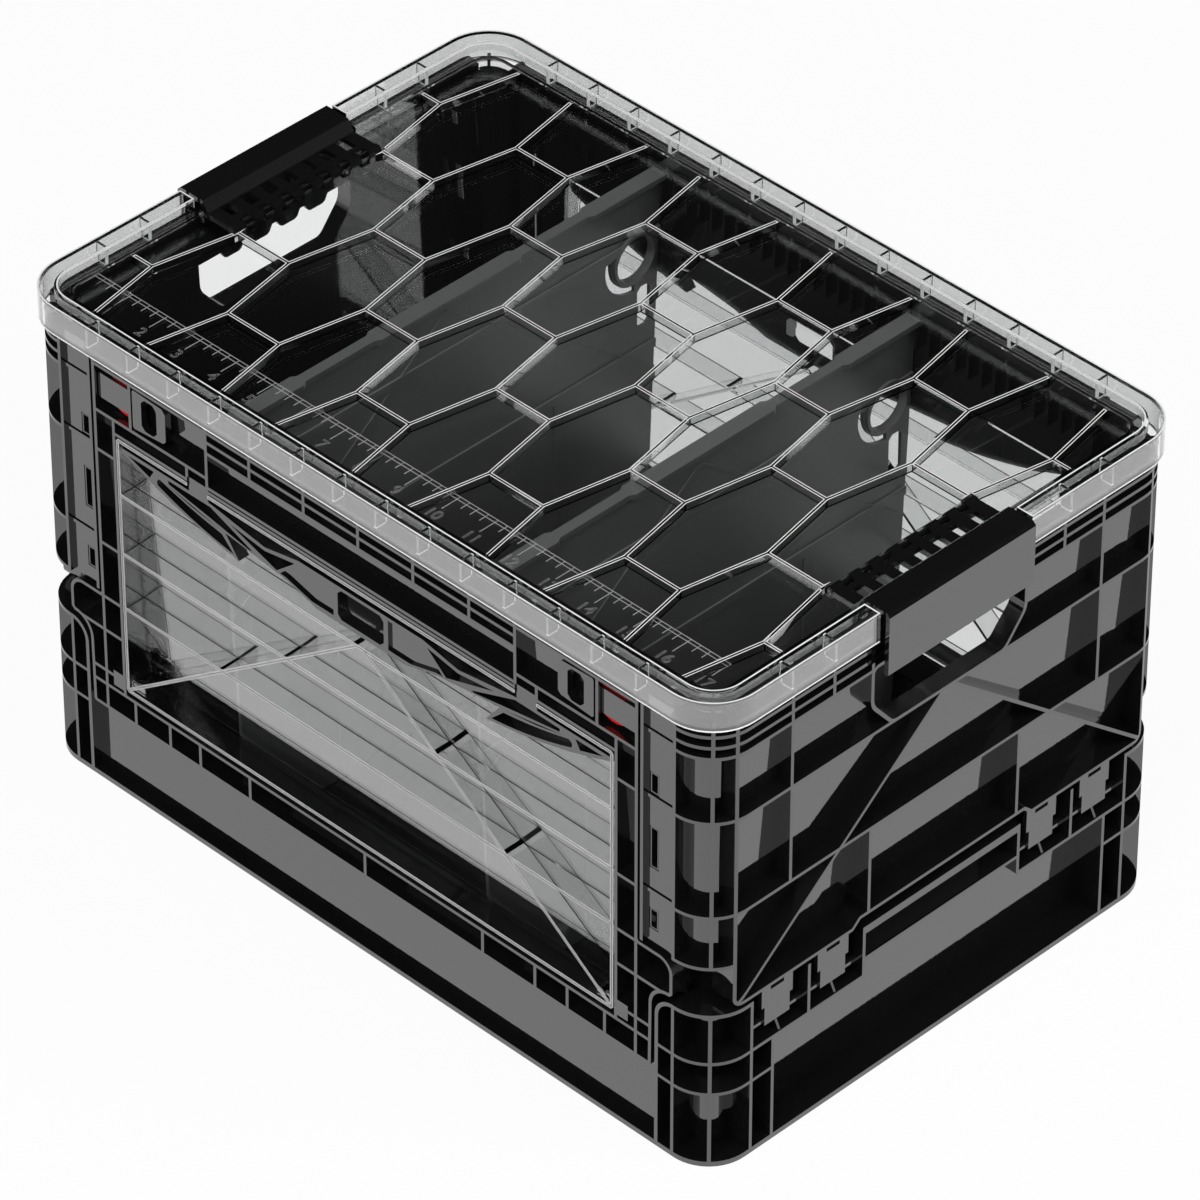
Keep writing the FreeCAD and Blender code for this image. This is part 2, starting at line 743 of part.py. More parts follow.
def slide_lock():
    """Front right slide lock: block, bolt, bar and a grip with a finger hole."""
    y0 = front_plane + lock_depth_front
    y1 = front_plane + lock_depth_back - indicator_thickness - 0.1
    block = plate([(grip_outer - 1, lock_block_low, 0), (lock_block_outer, lock_block_low, 0.8),
                   (lock_block_outer, lock_block_high, 0.8), (grip_outer - 1, lock_block_high, 0)],
                  "y", y0, y1)
    bolt = box(lock_block_outer - 1, post_leg_end + rib + 2, y0 + 1, y1, indicator_z - 4, indicator_z + 4)
    centre_x = (grip_inner + grip_outer) / 2
    grip_points = [(grip_inner, grip_low + 2, 2.0), (grip_outer, grip_low, 1.0),
                   (grip_outer, grip_high, 1.0), (grip_inner, grip_high - 1, 2.5)]
    grip = plate(grip_points, "y", front_plane, y1)
    lip = plate(grip_points, "y", front_plane, front_plane + 1.2)
    lip = lip.common(box(grip_inner, grip_inner + grip_lip, front_plane - 1, y1, grip_low, grip_high))
    hole = plate([(centre_x - grip_hole_half_x, indicator_z - grip_hole_half_z, 2.5),
                  (centre_x + grip_hole_half_x, indicator_z - grip_hole_half_z, 2.5),
                  (centre_x + grip_hole_half_x, indicator_z + grip_hole_half_z, 2.5),
                  (centre_x - grip_hole_half_x, indicator_z + grip_hole_half_z, 2.5)],
                 "y", front_plane - 1, y1 + 1)
    return joined([block, bolt, grip, lip]).cut(hole)


# Clear door

def door_back(z):
    return skin_depth(z) + skin


def door_front(z):
    return skin_depth(z) + skin - door_wall


def door_panel():
    """Front door: leaning clear skin, border, level ribs and two braces meeting at the top."""
    back = front_plane + skin_depth_floor + skin
    points = [(-door_half, door_foot, 1.5), (door_half, door_foot, 1.5),
              (door_half, door_top, 1.5), (-door_half, door_top, 1.5)]
    wedge = front_wedge(door_foot, door_top, door_half, at_plane, door_back)
    ribs = [edge_strip(points, "y", front_plane, back, door_wall)]
    for level in door_rib_levels:
        ribs.append(box(-door_half, door_half, front_plane, back, level - rib / 2, level + rib / 2))
    for side in (-1, 1):
        ribs.append(bar((side * (door_half - 2), door_foot + 2), (0, door_apex), rib, "y", front_plane, back))
    grid = joined(ribs).common(wedge)
    panel = front_wedge(door_foot, door_top, door_half, door_front, door_back)
    panel = panel.common(plate(points, "y", front_plane, back))
    latch_room = box(-door_half + door_wall, door_half - door_wall, front_plane - 1,
                     front_plane + latch_depth_back + running_gap, door_rib_levels[-1] + rib / 2,
                     door_top - door_wall)
    catch_room = []
    axis = (front_plane + door_axis_depth, door_foot + door_axis_rise)
    bosses = []
    bores = []
    for side in (-1, 1):
        start = (side * door_half, axis[0], axis[1])
        low, high = sorted((side * door_half, side * (door_half - door_boss_length)))
        bosses.append(box(low, high, axis[0] - door_boss_half, axis[0] + door_boss_half,
                          axis[1] - door_boss_half, axis[1] + door_boss_half))
        bores.append(cylinder(door_pin_radius + bore_gap, start, (-side, 0, 0), door_boss_length - 2))
        low, high = sorted((side * (catch_x - catch_half), side * (catch_x + catch_half)))
        catch_room.append(box(low, high, front_plane - 1, front_plane + tongue_depth_back + running_gap,
                              latch_top - 1, door_top + 1))
    body = joined([grid, panel]).cut(latch_room)
    body = joined([body] + bosses)
    for cut in bores + catch_room:
        body = body.cut(cut)
    return body


def door_pins():
    axis = (front_plane + door_axis_depth, door_foot + door_axis_rise)
    pins = []
    length = door_boss_length - 2.5 + door_gap + door_pin_seat
    for side in (-1, 1):
        start = (side * (door_half - door_boss_length + 2.5), axis[0], axis[1])
        pins.append(cylinder(door_pin_radius, start, (side, 0, 0), length))
    return Part.makeCompound(pins)


def bow_edge(*points):
    """Line through two points, or arc through three; a point is (share of the half length, drop from the top)."""
    places = [placed("y", u * latch_half, latch_top - drop, front_plane) for u, drop in points]
    if len(places) == 2:
        return Part.LineSegment(*places).toShape()
    return Part.Arc(*places).toShape()


def bow_face(points):
    count = len(points)
    return Part.Face(Part.Wire([bow_edge(points[i], points[(i + 1) % count]) for i in range(count)]))


def bow_outline():
    """Right half of the latch seen from the front: straight top, swept wing, free wing tip, waist."""
    tip = (0.508, 26.9)
    corners = [tip, (0.562, 15.0), (0.442, 17.2), (0.311, 19.9), (0.179, 25.9), (0.0, 25.9), (0.0, 0.0),
               (1.0, 0.0), (1.0, 5.4)]
    edges = [bow_edge(corners[i], corners[i + 1]) for i in range(len(corners) - 1)]
    edges.append(bow_edge(corners[-1], (0.753, 19.0), tip))
    return Part.Face(Part.Wire(edges))


def bow_pockets():
    """Hollows in the front of the right wing, between its thin ribs."""
    wing = Part.Face(Part.Wire([
        bow_edge((0.529, 24.8), (0.578, 16.8)),
        bow_edge((0.578, 16.8), (0.705, 13.2), (0.830, 8.0)),
        bow_edge((0.830, 8.0), (0.849, 9.0), (0.846, 12.0)),
        bow_edge((0.846, 12.0), (0.705, 19.3), (0.529, 24.8)),
    ]))
    top_groove = [(0.0, -5.0), (0.0, 3.6), (0.254, 3.6), (0.397, 8.3), (0.621, 2.8), (1.1, 2.8), (1.1, -5.0)]
    panel_end = [(0.271, 6.8), (0.348, 17.8), (0.541, 7.6), (0.397, 10.5)]
    long_cell = [(0.451, 15.5), (0.624, 4.7), (0.803, 4.9), (0.801, 6.9), (0.633, 11.3), (0.460, 16.2)]
    slit = [(0.585, 14.8), (0.711, 11.7), (0.818, 7.4), (0.711, 10.8)]
    end_cell = [(0.864, 5.1), (0.974, 5.1), (0.882, 10.3)]
    return [bow_face(points) for points in (top_groove, panel_end, long_cell, slit, end_cell)] + [wing]


def door_latch():
    """Bow shaped door latch: finger hole, hollow ribbed wings on a back plate and two catch tongues."""
    y0 = front_plane + latch_depth_front
    y1 = front_plane + latch_depth_back
    half = bow_outline().extrude(FreeCAD.Vector(0, latch_depth_back, 0))
    half = half.cut(box(-1, door_half, front_plane - 1, y0, 0, wall_top))
    for pocket in bow_pockets():
        half = half.cut(pocket.extrude(FreeCAD.Vector(0, latch_depth_back - latch_plate, 0)))
    inner = (latch_hole_half + 3.0) / latch_half
    panel = bow_face([(inner, 5.5), (0.253, 5.5), (0.334, 18.2), (0.308, 18.6), (0.203, 23.2), (inner, 23.2)])
    half = half.cut(panel.extrude(FreeCAD.Vector(0, latch_depth_front + latch_panel_recess, 0)))
    tongue_low = catch_x - catch_half + running_gap
    tongue_high = catch_x + catch_half - running_gap
    root = box(tongue_low, tongue_high, y0, y1, latch_flange, latch_top)
    tongue = box(tongue_low, tongue_high, y0, front_plane + tongue_depth_back, latch_flange,
                 door_top + door_gap + catch_rise - running_gap)
    half = joined([half, root, tongue])
    hole = plate([(-latch_hole_half, latch_hole_low, 2.5), (latch_hole_half, latch_hole_low, 2.5),
                  (latch_hole_half, latch_hole_top, 2.5), (-latch_hole_half, latch_hole_top, 2.5)],
                 "y", y0 - 1, y1 + 1)
    return joined([half, mirrored_x(half)]).cut(hole)


# Clear lid

def lid_rings():
    """Skirt, top band, step and inner wall of the lid rim, all on one rounded outline."""
    out = -lid_overhang
    top = lid_height
    band = lid_band + out
    inner = lid_inner + out
    return [ring(out, out + lid_wall, lid_skirt_low, top),
            ring(out, band, top - lid_wall, top),
            ring(band - lid_wall, band, lid_step_top - lid_wall, top),
            ring(band - lid_wall, inner + lid_wall, lid_step_top - lid_wall, lid_step_top),
            ring(inner, inner + lid_wall, lid_panel_top - lid_wall, lid_step_top),
            slab(inner, lid_panel_top - lid_wall, lid_panel_top)]


def hexagon_ribs():
    """Honeycomb of long six-sided cells standing on the lid panel."""
    low = lid_panel_top - lid_wall / 2
    ribs = []
    for column in range(-hex_columns, hex_columns + 1):
        x = column * hex_pitch
        rows = (-1, 1) if column % 2 == 0 else (-2, 0, 2)
        for row in rows:
            y = row * hex_row
            left = (x - hex_half_edge, y)
            right = (x + hex_half_edge, y)
            ribs.append(bar(left, right, hex_rib, "z", low, hex_rib_top))
            for step in (-1, 1):
                ribs.append(bar(left, (x - hex_pitch + hex_half_edge, y + step * hex_row),
                                hex_rib, "z", low, hex_rib_top))
                if column == hex_columns:
                    continue
                if abs(row) == 2 and step * row > 0:
                    ribs.append(bar(right, (x + hex_pitch - hex_half_edge, y + step * hex_row),
                                    hex_rib, "z", low, hex_rib_top))
    return ribs


def lid_knuckles():
    """Clear hinge arms between the fingers of the right lid latch."""
    arms = []
    for k in range(clip_teeth):
        y = (k - (clip_teeth - 1) / 2) * clip_pitch - clip_tooth_width / 2
        barrel = flat_sided(8, clip_barrel, "y", clip_pin_x, clip_pin_z, y, y + clip_tooth_width)
        foot = box(clip_pin_x - clip_barrel, clip_pin_x + clip_lug_reach, y, y + clip_tooth_width,
                   lid_panel_top - lid_wall / 2, clip_pin_z)
        arms.append(joined([barrel, foot]))
    return arms


def lid():
    inner = lid_inner - lid_overhang
    field = slab(inner + lid_wall / 2, lid_panel_top - lid_wall, lid_height)
    latch_field = box(clip_pin_x - clip_barrel - 1.5, end_plane + 20, -latch_notch_half, latch_notch_half,
                      lid_panel_top, lid_height + 1)
    skirt_notch = box(end_plane - lid_inner + lid_overhang, end_plane + 20, -latch_notch_half, latch_notch_half,
                      lid_skirt_low - 1, lid_height + 1)
    rim = joined(lid_rings())
    honeycomb = joined(hexagon_ribs()).common(field)
    body = joined([rim, honeycomb])
    for room in (latch_field, skirt_notch):
        body = body.cut(room).cut(turned(room))
    arms = lid_knuckles()
    body = joined([body] + arms + [turned(arm) for arm in arms])
    bore = flat_sided(4, clip_pin_radius + bore_gap, "y", clip_pin_x, clip_pin_z, -clip_half, clip_half)
    return body.cut(bore).cut(turned(bore))


# Lid latch

def lid_latch():
    """Right lid latch: hooked plate outside, top, slope, a row of windows and the hinge barrel."""
    top = lid_height
    under = clip_finger_top - clip_finger_thickness
    profile = [(clip_outer, clip_low, 1.0), (clip_outer, top, 2.0), (clip_top_inner, top, 1.0),
               (clip_slope_end, clip_finger_top, 1.0), (clip_pin_x, clip_finger_top, 0), (clip_pin_x, under, 0),
               (clip_slope_end + 2.6, under, 1.0), (clip_top_inner + 2.6, top - clip_wall, 1.0),
               (clip_outer - clip_wall, top - clip_wall, 1.0), (clip_outer - clip_wall, clip_low, 1.0)]
    body = plate(profile, "y", -clip_half, clip_half)
    barrel = flat_sided(8, clip_barrel, "y", clip_pin_x, clip_pin_z, -clip_half, clip_half)
    body = joined([body, barrel])
    band = clip_pin_x + clip_band_start
    for k in range(clip_teeth):
        y = (k - (clip_teeth - 1) / 2) * clip_pitch
        half = clip_tooth_width / 2 + running_gap
        for x0, x1 in ((clip_pin_x - clip_barrel - 2, band), (band + clip_band, clip_slope_end)):
            body = body.cut(box(x0, x1, y - half, y + half, lid_panel_top - 5, lid_height + 5))
    bore = flat_sided(4, clip_pin_radius + bore_gap, "y", clip_pin_x, clip_pin_z, -clip_half - 1, clip_half + 1)
    return body.cut(bore)


def lid_latch_pin():
    return cylinder(clip_pin_radius, (clip_pin_x, -clip_half, clip_pin_z), (0, 1, 0), 2 * clip_half)


# Divider

def divider_half_length(z):
    return base_width / 2 - skin_depth(z) - skin - divider_clearance


def divider_cuts(x):
    """Finger hole, curved slot round it and upright slot below, at both ends of a divider."""
    cuts = []
    edge = divider_half_length(divider_hole_z)
    for side in (-1, 1):
        y = side * (edge - divider_hole_edge)
        cuts.append(flat_sided(divider_hole_flats, divider_hole_radius, "x", y, divider_hole_z, x - 8, x + 8))
        arc = cylinder(divider_arc_outer, (x - 8, y, divider_hole_z), (1, 0, 0), 16)
        arc = arc.cut(cylinder(divider_arc_inner, (x - 9, y, divider_hole_z), (1, 0, 0), 18))
        cuts.append(arc.common(box(x - 8, x + 8, 0, y, 0, divider_hole_z + 5)))
        y = side * (divider_half_length(divider_slot_low) - divider_slot_edge)
        half = divider_slot_width / 2
        cuts.append(plate([(y - half, divider_slot_low, 2.5), (y + half, divider_slot_low, 2.5),
                           (y + half, divider_slot_high, 2.5), (y - half, divider_slot_high, 2.5)],
                          "x", x - 8, x + 8))
    return cuts


def divider(x):
    """Loose divider: leaning ends, beads, braces, hooked cut-outs and a flat hanging bar."""
    low = divider_foot
    high = divider_top
    x0 = x - divider_wall / 2
    x1 = x + divider_wall / 2
    short = divider_half_length(low)
    long = divider_half_length(high)
    outline = [(-short, low, 2.5), (short, low, 2.5), (long, high - 1, 0), (-long, high - 1, 0)]
    panel = plate(outline, "x", x0, x1)
    thick0 = x0 - divider_bead
    thick1 = x1 + divider_bead
    raised = []
    for level in divider_bead_levels:
        raised.append(plate([(-long, level - 2.5, 0), (long, level - 2.5, 0),
                             (long, level + 2.5, 0), (-long, level + 2.5, 0)], "x", thick0, thick1))
    apex = (0, high - divider_bar_height - 6)
    for side in (-1, 1):
        raised.append(bar(apex, (side * long, apex[1] - long * 0.755), 1.6, "x", x0 - 0.7, x1 + 0.7))
        raised.append(bar((side * long * 0.5, low + 4), (side * long * 0.5, divider_bead_levels[0]), 3.0,
                          "x", x0 - 0.7, x1 + 0.7))
    limits = plate(outline, "x", x - 10, x + 10)
    body = joined([panel, joined(raised).common(limits)])
    for cut in divider_cuts(x):
        body = body.cut(cut)
    half = divider_bar / 2
    waist = half - divider_waist_cut
    bar_points = []
    for y, width in ((-long, half), (-divider_waist[1], half), (-divider_waist[1] + 3, waist),
                     (-divider_waist[0] - 3, waist), (-divider_waist[0], half), (divider_waist[0], half),
                     (divider_waist[0] + 3, waist), (divider_waist[1] - 3, waist), (divider_waist[1], half),
                     (long, half)):
        bar_points.append((y, width))
    top_points = [(x + w, y) for y, w in bar_points] + [(x - w, y) for y, w in reversed(bar_points)]
    top_bar = plate(sharp(top_points), "z", high - divider_bar_height, high)
    return joined([body, top_bar])


# Assembly

def write(name, shape):
    shape.exportStep("parts/" + name + ".step")


def main():
    os.makedirs("parts", exist_ok=True)
    right_wall = end_wall()
    front = long_frame()
    lock_right = slide_lock()
    lock_left = mirrored_x(lock_right)
    door = door_panel()
    latch = door_latch()
    clip = lid_latch()
    discs = lock_indicators()
    pieces = {
        "base_tray": base_tray(),
        "right_end_wall": right_wall,
        "left_end_wall": turned(right_wall),
        "right_hinge_clips": end_hinge_clips(),
        "left_hinge_clips": turned(end_hinge_clips()),
        "front_frame": front,
        "back_frame": turned(front),
        "lock_indicators": Part.makeCompound(discs + [turned(disc) for disc in discs]),
        "front_right_lock": lock_right,
        "front_left_lock": lock_left,
        "back_left_lock": turned(lock_right),
        "back_right_lock": turned(lock_left),
        "front_door": door,
        "back_door": turned(door),
        "front_door_pins": door_pins(),
        "back_door_pins": turned(door_pins()),
        "front_door_latch": latch,
        "back_door_latch": turned(latch),
        "lid": lid(),
        "right_lid_latch": clip,
        "left_lid_latch": turned(clip),
        "right_latch_pin": lid_latch_pin(),
        "left_latch_pin": turned(lid_latch_pin()),
        "left_divider": divider(divider_slots[0] * comb_pitch),
        "right_divider": divider(divider_slots[1] * comb_pitch),
    }
    for name, shape in pieces.items():
        write(name, shape)


main()
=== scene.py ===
"""Looks of a folding storage crate.

Black ribbed mouldings, a clear lid and clear doors, loose dividers and an inch ruler on the lid.
Lengths are in metres.
"""

import math

import bmesh
import bpy
from mathutils import Matrix, Vector


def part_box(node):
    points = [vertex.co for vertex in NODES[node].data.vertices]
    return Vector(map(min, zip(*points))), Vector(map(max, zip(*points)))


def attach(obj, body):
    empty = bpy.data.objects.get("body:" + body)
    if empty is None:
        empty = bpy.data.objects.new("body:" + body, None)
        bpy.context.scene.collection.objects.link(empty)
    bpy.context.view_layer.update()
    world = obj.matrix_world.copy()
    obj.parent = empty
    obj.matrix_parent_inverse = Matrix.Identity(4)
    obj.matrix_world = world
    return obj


bl_info = {
    "name": "Folding Crate Looks",
    "version": (1, 0, 0),
    "blender": (4, 5, 0),
    "location": "3D View > Sidebar > Crate",
    "description": "Finishes, moulded ruler and studio for a folding storage crate",
    "category": "Object",
}

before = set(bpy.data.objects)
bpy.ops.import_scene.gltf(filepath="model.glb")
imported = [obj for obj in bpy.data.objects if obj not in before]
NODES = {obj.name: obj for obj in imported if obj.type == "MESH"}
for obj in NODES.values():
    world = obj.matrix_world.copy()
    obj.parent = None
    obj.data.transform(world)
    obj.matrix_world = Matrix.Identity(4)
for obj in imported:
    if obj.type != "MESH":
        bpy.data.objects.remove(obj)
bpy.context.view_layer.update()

# Solids that share a finish
BLACK_MOULDINGS = ("base_tray", "right_end_wall", "left_end_wall", "front_frame", "back_frame")
BLACK_FITTINGS = ("front_right_lock", "front_left_lock", "back_left_lock", "back_right_lock",
                  "front_door_latch", "back_door_latch", "right_lid_latch", "left_lid_latch")
CLEAR_DOORS = ("front_door", "back_door", "front_door_pins", "back_door_pins")
DIVIDERS = ("left_divider", "right_divider")
HINGE_CLIPS = ("right_hinge_clips", "left_hinge_clips")
STEEL_PINS = ("right_latch_pin", "left_latch_pin")

# Sizes of the solids that their boxes do not give; drops are measured down from the top of a solid
LID_WALL = 0.002
LID_CORNER = 0.02675
LID_PANEL_DROP = 0.0117
LID_RIB_HEIGHT = 0.0045
COLLAR_DROP = 0.044
COLLAR_INSET = 0.0191
POST_LEG_RECESS = 0.00235
POST_LEG_WALL = 0.0024
POST_SLOT_INSET = 0.0070
# Drop and height of each slot in a post leg
POST_SLOTS = ((0.1346, 0.0126), (0.0913, 0.0250), (0.0526, 0.0126))

# Sizes and limits for making the added forms
INCH = 0.0254
TOUCH = 0.00005
MERGE = 1e-6
SLOT_END_ROOM = 0.0022
SLOT_LIP_SETBACK = 0.0002
SLOT_FLANGE_DEPTH = 0.0008
WEB_CORNER_REACH = 0.004
COLLAR_SIDES = 48
LETTER_SIZE_RATIO = 1.35
FLAT_ENOUGH = 0.99
LEVEL_SLACK = 0.0001

# Places of the axes in a vector
X_AXIS = 0
Y_AXIS = 1
Z_AXIS = 2

# Values of the finishes
RUB_TURN = (0.5, 0.4, 0.9)
RUB_STRETCH = (1.0, 14.0, 5.0)
RUB_RAMP = (0.66, 0.74)
RUB_ROUGHNESS = 0.3
PATCH_SHARE = 0.6
PLASTIC_INDEX = 1.65
CLEAR_SHADOW = (0.93, 0.94, 0.94)
STEEL_DARK = (0.42, 0.42, 0.43)
STEEL_PALE = (0.62, 0.62, 0.63)

# Colour sockets of a Mix node, which share their names with its other sockets
MIX_FIRST = 6
MIX_SECOND = 7
MIX_RESULT = 2

# Values of the studio
FLOOR_PAINT = (0.86, 0.86, 0.86)
FLOOR_GLOW_SHARE = 0.95
FLOOR_DROP = 0.0006
CEILING = (0.015, 0.015, 0.015)
CEILING_START = 0.42
LAMP_AIM = (0, 0, 0.15)
KEY_PLACE = (1.2, -2.6, 3.2)
KEY_SIZE = 2.4
FILL_PLACE = (2.8, 1.0, 2.6)
FILL_SIZE = 2.0
CAMERA_AIM = (0, 0, 0.140)
CAMERA_AIM_RIGHT = 0.00219
CAMERA_AIM_DOWN = 0.00634


# Settings that a user would change

class CrateFinish(bpy.types.PropertyGroup):
    """Colours of the crate's plastics, the painted light on the divider tops and the painted highlights along
    the clear edges.
    """
    black: bpy.props.FloatVectorProperty(
        name="Black plastic", description="Colour of the walls, base, locks and latches", subtype="COLOR",
        size=3, min=0, max=1, default=(0.0035, 0.0035, 0.0037))
    clear: bpy.props.FloatVectorProperty(
        name="Clear plastic", description="Tint of the lid and the doors", subtype="COLOR",
        size=3, min=0, max=1, default=(0.96, 0.97, 0.97))
    divider: bpy.props.FloatVectorProperty(
        name="Divider plastic", description="Colour of the two loose dividers", subtype="COLOR",
        size=3, min=0, max=1, default=(0.060, 0.060, 0.060))
    # Painted light: a paler colour on the level faces of the dividers, standing in for light falling on their
    # tops.
    divider_top: bpy.props.FloatVectorProperty(
        name="Divider top", description="Colour of the rubbed level faces of the dividers", subtype="COLOR",
        size=3, min=0, max=1, default=(0.150, 0.150, 0.150))
    clip: bpy.props.FloatVectorProperty(
        name="Hinge clip plastic", description="Colour of the snap tabs under the end walls", subtype="COLOR",
        size=3, min=0, max=1, default=(0.010, 0.010, 0.0105))
    indicator: bpy.props.FloatVectorProperty(
        name="Lock indicator", description="Colour of the discs behind the slide locks", subtype="COLOR",
        size=3, min=0, max=1, default=(0.68, 0.006, 0.008))
    ruler: bpy.props.FloatVectorProperty(
        name="Ruler frosting", description="Colour of the frosted ruler marks on the lid", subtype="COLOR",
        size=3, min=0, max=1, default=(0.55, 0.55, 0.55))
    # Painted highlights: near-white colour of the thin lines laid along the clear edges, standing in for
    # light glinting on them.
    edge: bpy.props.FloatVectorProperty(
        name="Edge lines", description="Colour of the lines of light along the edges of the clear ribs",
        subtype="COLOR", size=3, min=0, max=1, default=(0.92, 0.92, 0.92))


class CrateRuler(bpy.types.PropertyGroup):
    """Sizes of the inch ruler moulded on the lid."""
    zero_x: bpy.props.FloatProperty(
        name="Zero", description="Place of the zero mark along the crate", unit="LENGTH", default=-0.2273)
    line_y: bpy.props.FloatProperty(
        name="Base line", description="Place of the tick roots across the crate", unit="LENGTH",
        default=-0.1165)
    inches: bpy.props.IntProperty(
        name="Inches", description="Highest number on the ruler", default=17, min=1)
    short_tick: bpy.props.FloatProperty(
        name="Short tick", description="Length of the quarter inch ticks", unit="LENGTH", default=0.0062)
    long_tick: bpy.props.FloatProperty(
        name="Long tick", description="Length of the inch ticks", unit="LENGTH", default=0.0124)
    tick_width: bpy.props.FloatProperty(
        name="Tick width", description="Width of a tick", unit="LENGTH", default=0.00038)
    rail_gap: bpy.props.FloatProperty(
        name="Line gap", description="Between the two lines along the tick roots", unit="LENGTH",
        default=0.0023)
    stroke: bpy.props.FloatProperty(
        name="Digit stroke", description="Half width of the raised outline of a number", unit="LENGTH",
        default=0.00012)
    digit_height: bpy.props.FloatProperty(
        name="Digit height", description="Height of the numbers", unit="LENGTH", default=0.0070)
    digit_y: bpy.props.FloatProperty(
        name="Digit place", description="Middle of the numbers across the crate", unit="LENGTH",
        default=-0.1345)
    relief: bpy.props.FloatProperty(
        name="Relief", description="How far the marks stand out of the lid", unit="LENGTH", default=0.00025)


class CrateSmallForms(bpy.types.PropertyGroup):
    """Sizes of the rim webs, the divider collars, the framed post slots and the painted highlight lines along
    the edges.
    """
    slot_mouth: bpy.props.FloatProperty(
        name="Slot mouth", description="Width of the mouth of a framed post slot", unit="LENGTH",
        default=0.0038)
    slot_lip: bpy.props.FloatProperty(
        name="Slot lip", description="Thickness of the frame of a post slot", unit="LENGTH", default=0.0007)
    slot_flange: bpy.props.FloatProperty(
        name="Slot flange", description="Width of the flange behind a post slot", unit="LENGTH",
        default=0.0024)
    web_pitch: bpy.props.FloatProperty(
        name="Web pitch", description="Between two webs of the lid rim", unit="LENGTH", default=0.0287)
    web_thickness: bpy.props.FloatProperty(
        name="Web thickness", description="Thickness of a web", unit="LENGTH", default=0.0015)
    web_reach: bpy.props.FloatProperty(
        name="Web reach", description="From the skirt to the inner wall of the rim", unit="LENGTH",
        default=0.0061)
    web_height: bpy.props.FloatProperty(
        name="Web height", description="How far a web hangs below the top band", unit="LENGTH",
        default=0.0100)
    web_end_first: bpy.props.FloatProperty(
        name="First end web", description="Place of the first web beside a lid latch", unit="LENGTH",
        default=0.080)
    collar_radius: bpy.props.FloatProperty(
        name="Collar radius", description="Inner radius of a divider collar", unit="LENGTH", default=0.0131)
    collar_wall: bpy.props.FloatProperty(
        name="Collar wall", description="Thickness of a divider collar", unit="LENGTH", default=0.0018)
    collar_depth: bpy.props.FloatProperty(
        name="Collar depth", description="Length of a collar through the divider", unit="LENGTH",
        default=0.0052)
    edge_width: bpy.props.FloatProperty(
        name="Edge width", description="Width of a line along the edge of a clear rib", unit="LENGTH",
        default=0.00046)
    rim_line: bpy.props.FloatProperty(
        name="Rim line", description="Width of the lines along the rim, the skirt and the webs",
        unit="LENGTH", default=0.0008)
    edge_relief: bpy.props.FloatProperty(
        name="Edge relief", description="How far such a line stands out", unit="LENGTH", default=0.0001)


class CrateStudio(bpy.types.PropertyGroup):
    """Camera, floor and lamps."""
    azimuth: bpy.props.FloatProperty(
        name="Camera azimuth", description="Turn of the camera round the crate", subtype="ANGLE",
        default=math.radians(45.0))
    elevation: bpy.props.FloatProperty(
        name="Camera elevation", description="Height angle of the camera", subtype="ANGLE",
        default=math.radians(38.22))
    distance: bpy.props.FloatProperty(
        name="Camera distance", description="From the camera to the point that it looks at", unit="LENGTH",
        default=4.091)
    lens: bpy.props.FloatProperty(
        name="Lens", description="Focal length on a 36 mm frame, in millimetres", default=250.2)
    floor_size: bpy.props.FloatProperty(
        name="Floor size", description="Side of the floor", unit="LENGTH", default=14.0)
    key_power: bpy.props.FloatProperty(
        name="Key lamp", description="Power of the large front lamp in watts", default=130.0)
    fill_power: bpy.props.FloatProperty(
        name="Fill lamp", description="Power of the side lamp in watts", default=70.0)


# Node helpers

def feed(tree, socket, value):
    """Links another node's output to a socket, or sets a plain value on it."""
    if isinstance(value, bpy.types.NodeSocket):
        tree.links.new(value, socket)
    else:
        socket.default_value = value


def math_node(tree, operation, first, second):
    """One arithmetic node; each side is a socket or a number."""
    node = tree.nodes.new("ShaderNodeMath")
    node.operation = operation
    feed(tree, node.inputs[0], first)
    feed(tree, node.inputs[1], second)
    return node.outputs[0]


def noise_node(tree, vector, scale, detail):
    """Cloudy noise over a vector; the scale is a socket or a number."""
    node = tree.nodes.new("ShaderNodeTexNoise")
    tree.links.new(vector, node.inputs["Vector"])
    feed(tree, node.inputs["Scale"], scale)
    node.inputs["Detail"].default_value = detail
    return node.outputs["Fac"]


def mixed_colour(tree, mask, first, second):
    """A colour between two others by a mask; the first is a socket or an opaque colour."""
    mix = tree.nodes.new("ShaderNodeMix")
    mix.data_type = "RGBA"
    tree.links.new(mask, mix.inputs["Factor"])
    feed(tree, mix.inputs[MIX_FIRST], first)
    feed(tree, mix.inputs[MIX_SECOND], second)
    return mix.outputs[MIX_RESULT]


def bumped(tree, height, strength, distance):
    """A normal that is bent by a height."""
    bump = tree.nodes.new("ShaderNodeBump")
    bump.inputs["Strength"].default_value = strength
    bump.inputs["Distance"].default_value = distance
    tree.links.new(height, bump.inputs["Height"])
    return bump.outputs["Normal"]


def surface_of_two(tree, share, first, second):
    """Sends a mix of two shaders to the surface of a material."""
    blend = tree.nodes.new("ShaderNodeMixShader")
    tree.links.new(share, blend.inputs["Fac"])
    tree.links.new(first, blend.inputs[1])
    tree.links.new(second, blend.inputs[2])
    tree.links.new(blend.outputs["Shader"], tree.nodes["Material Output"].inputs["Surface"])


def opaque(colour):
    """A colour with full cover."""
    return (*colour, 1)


def paler(colour, gain, lift):
    """A brighter colour of the same hue, with full cover."""
    return opaque(min(1.0, channel * gain + lift) for channel in colour)


# Shared shader groups

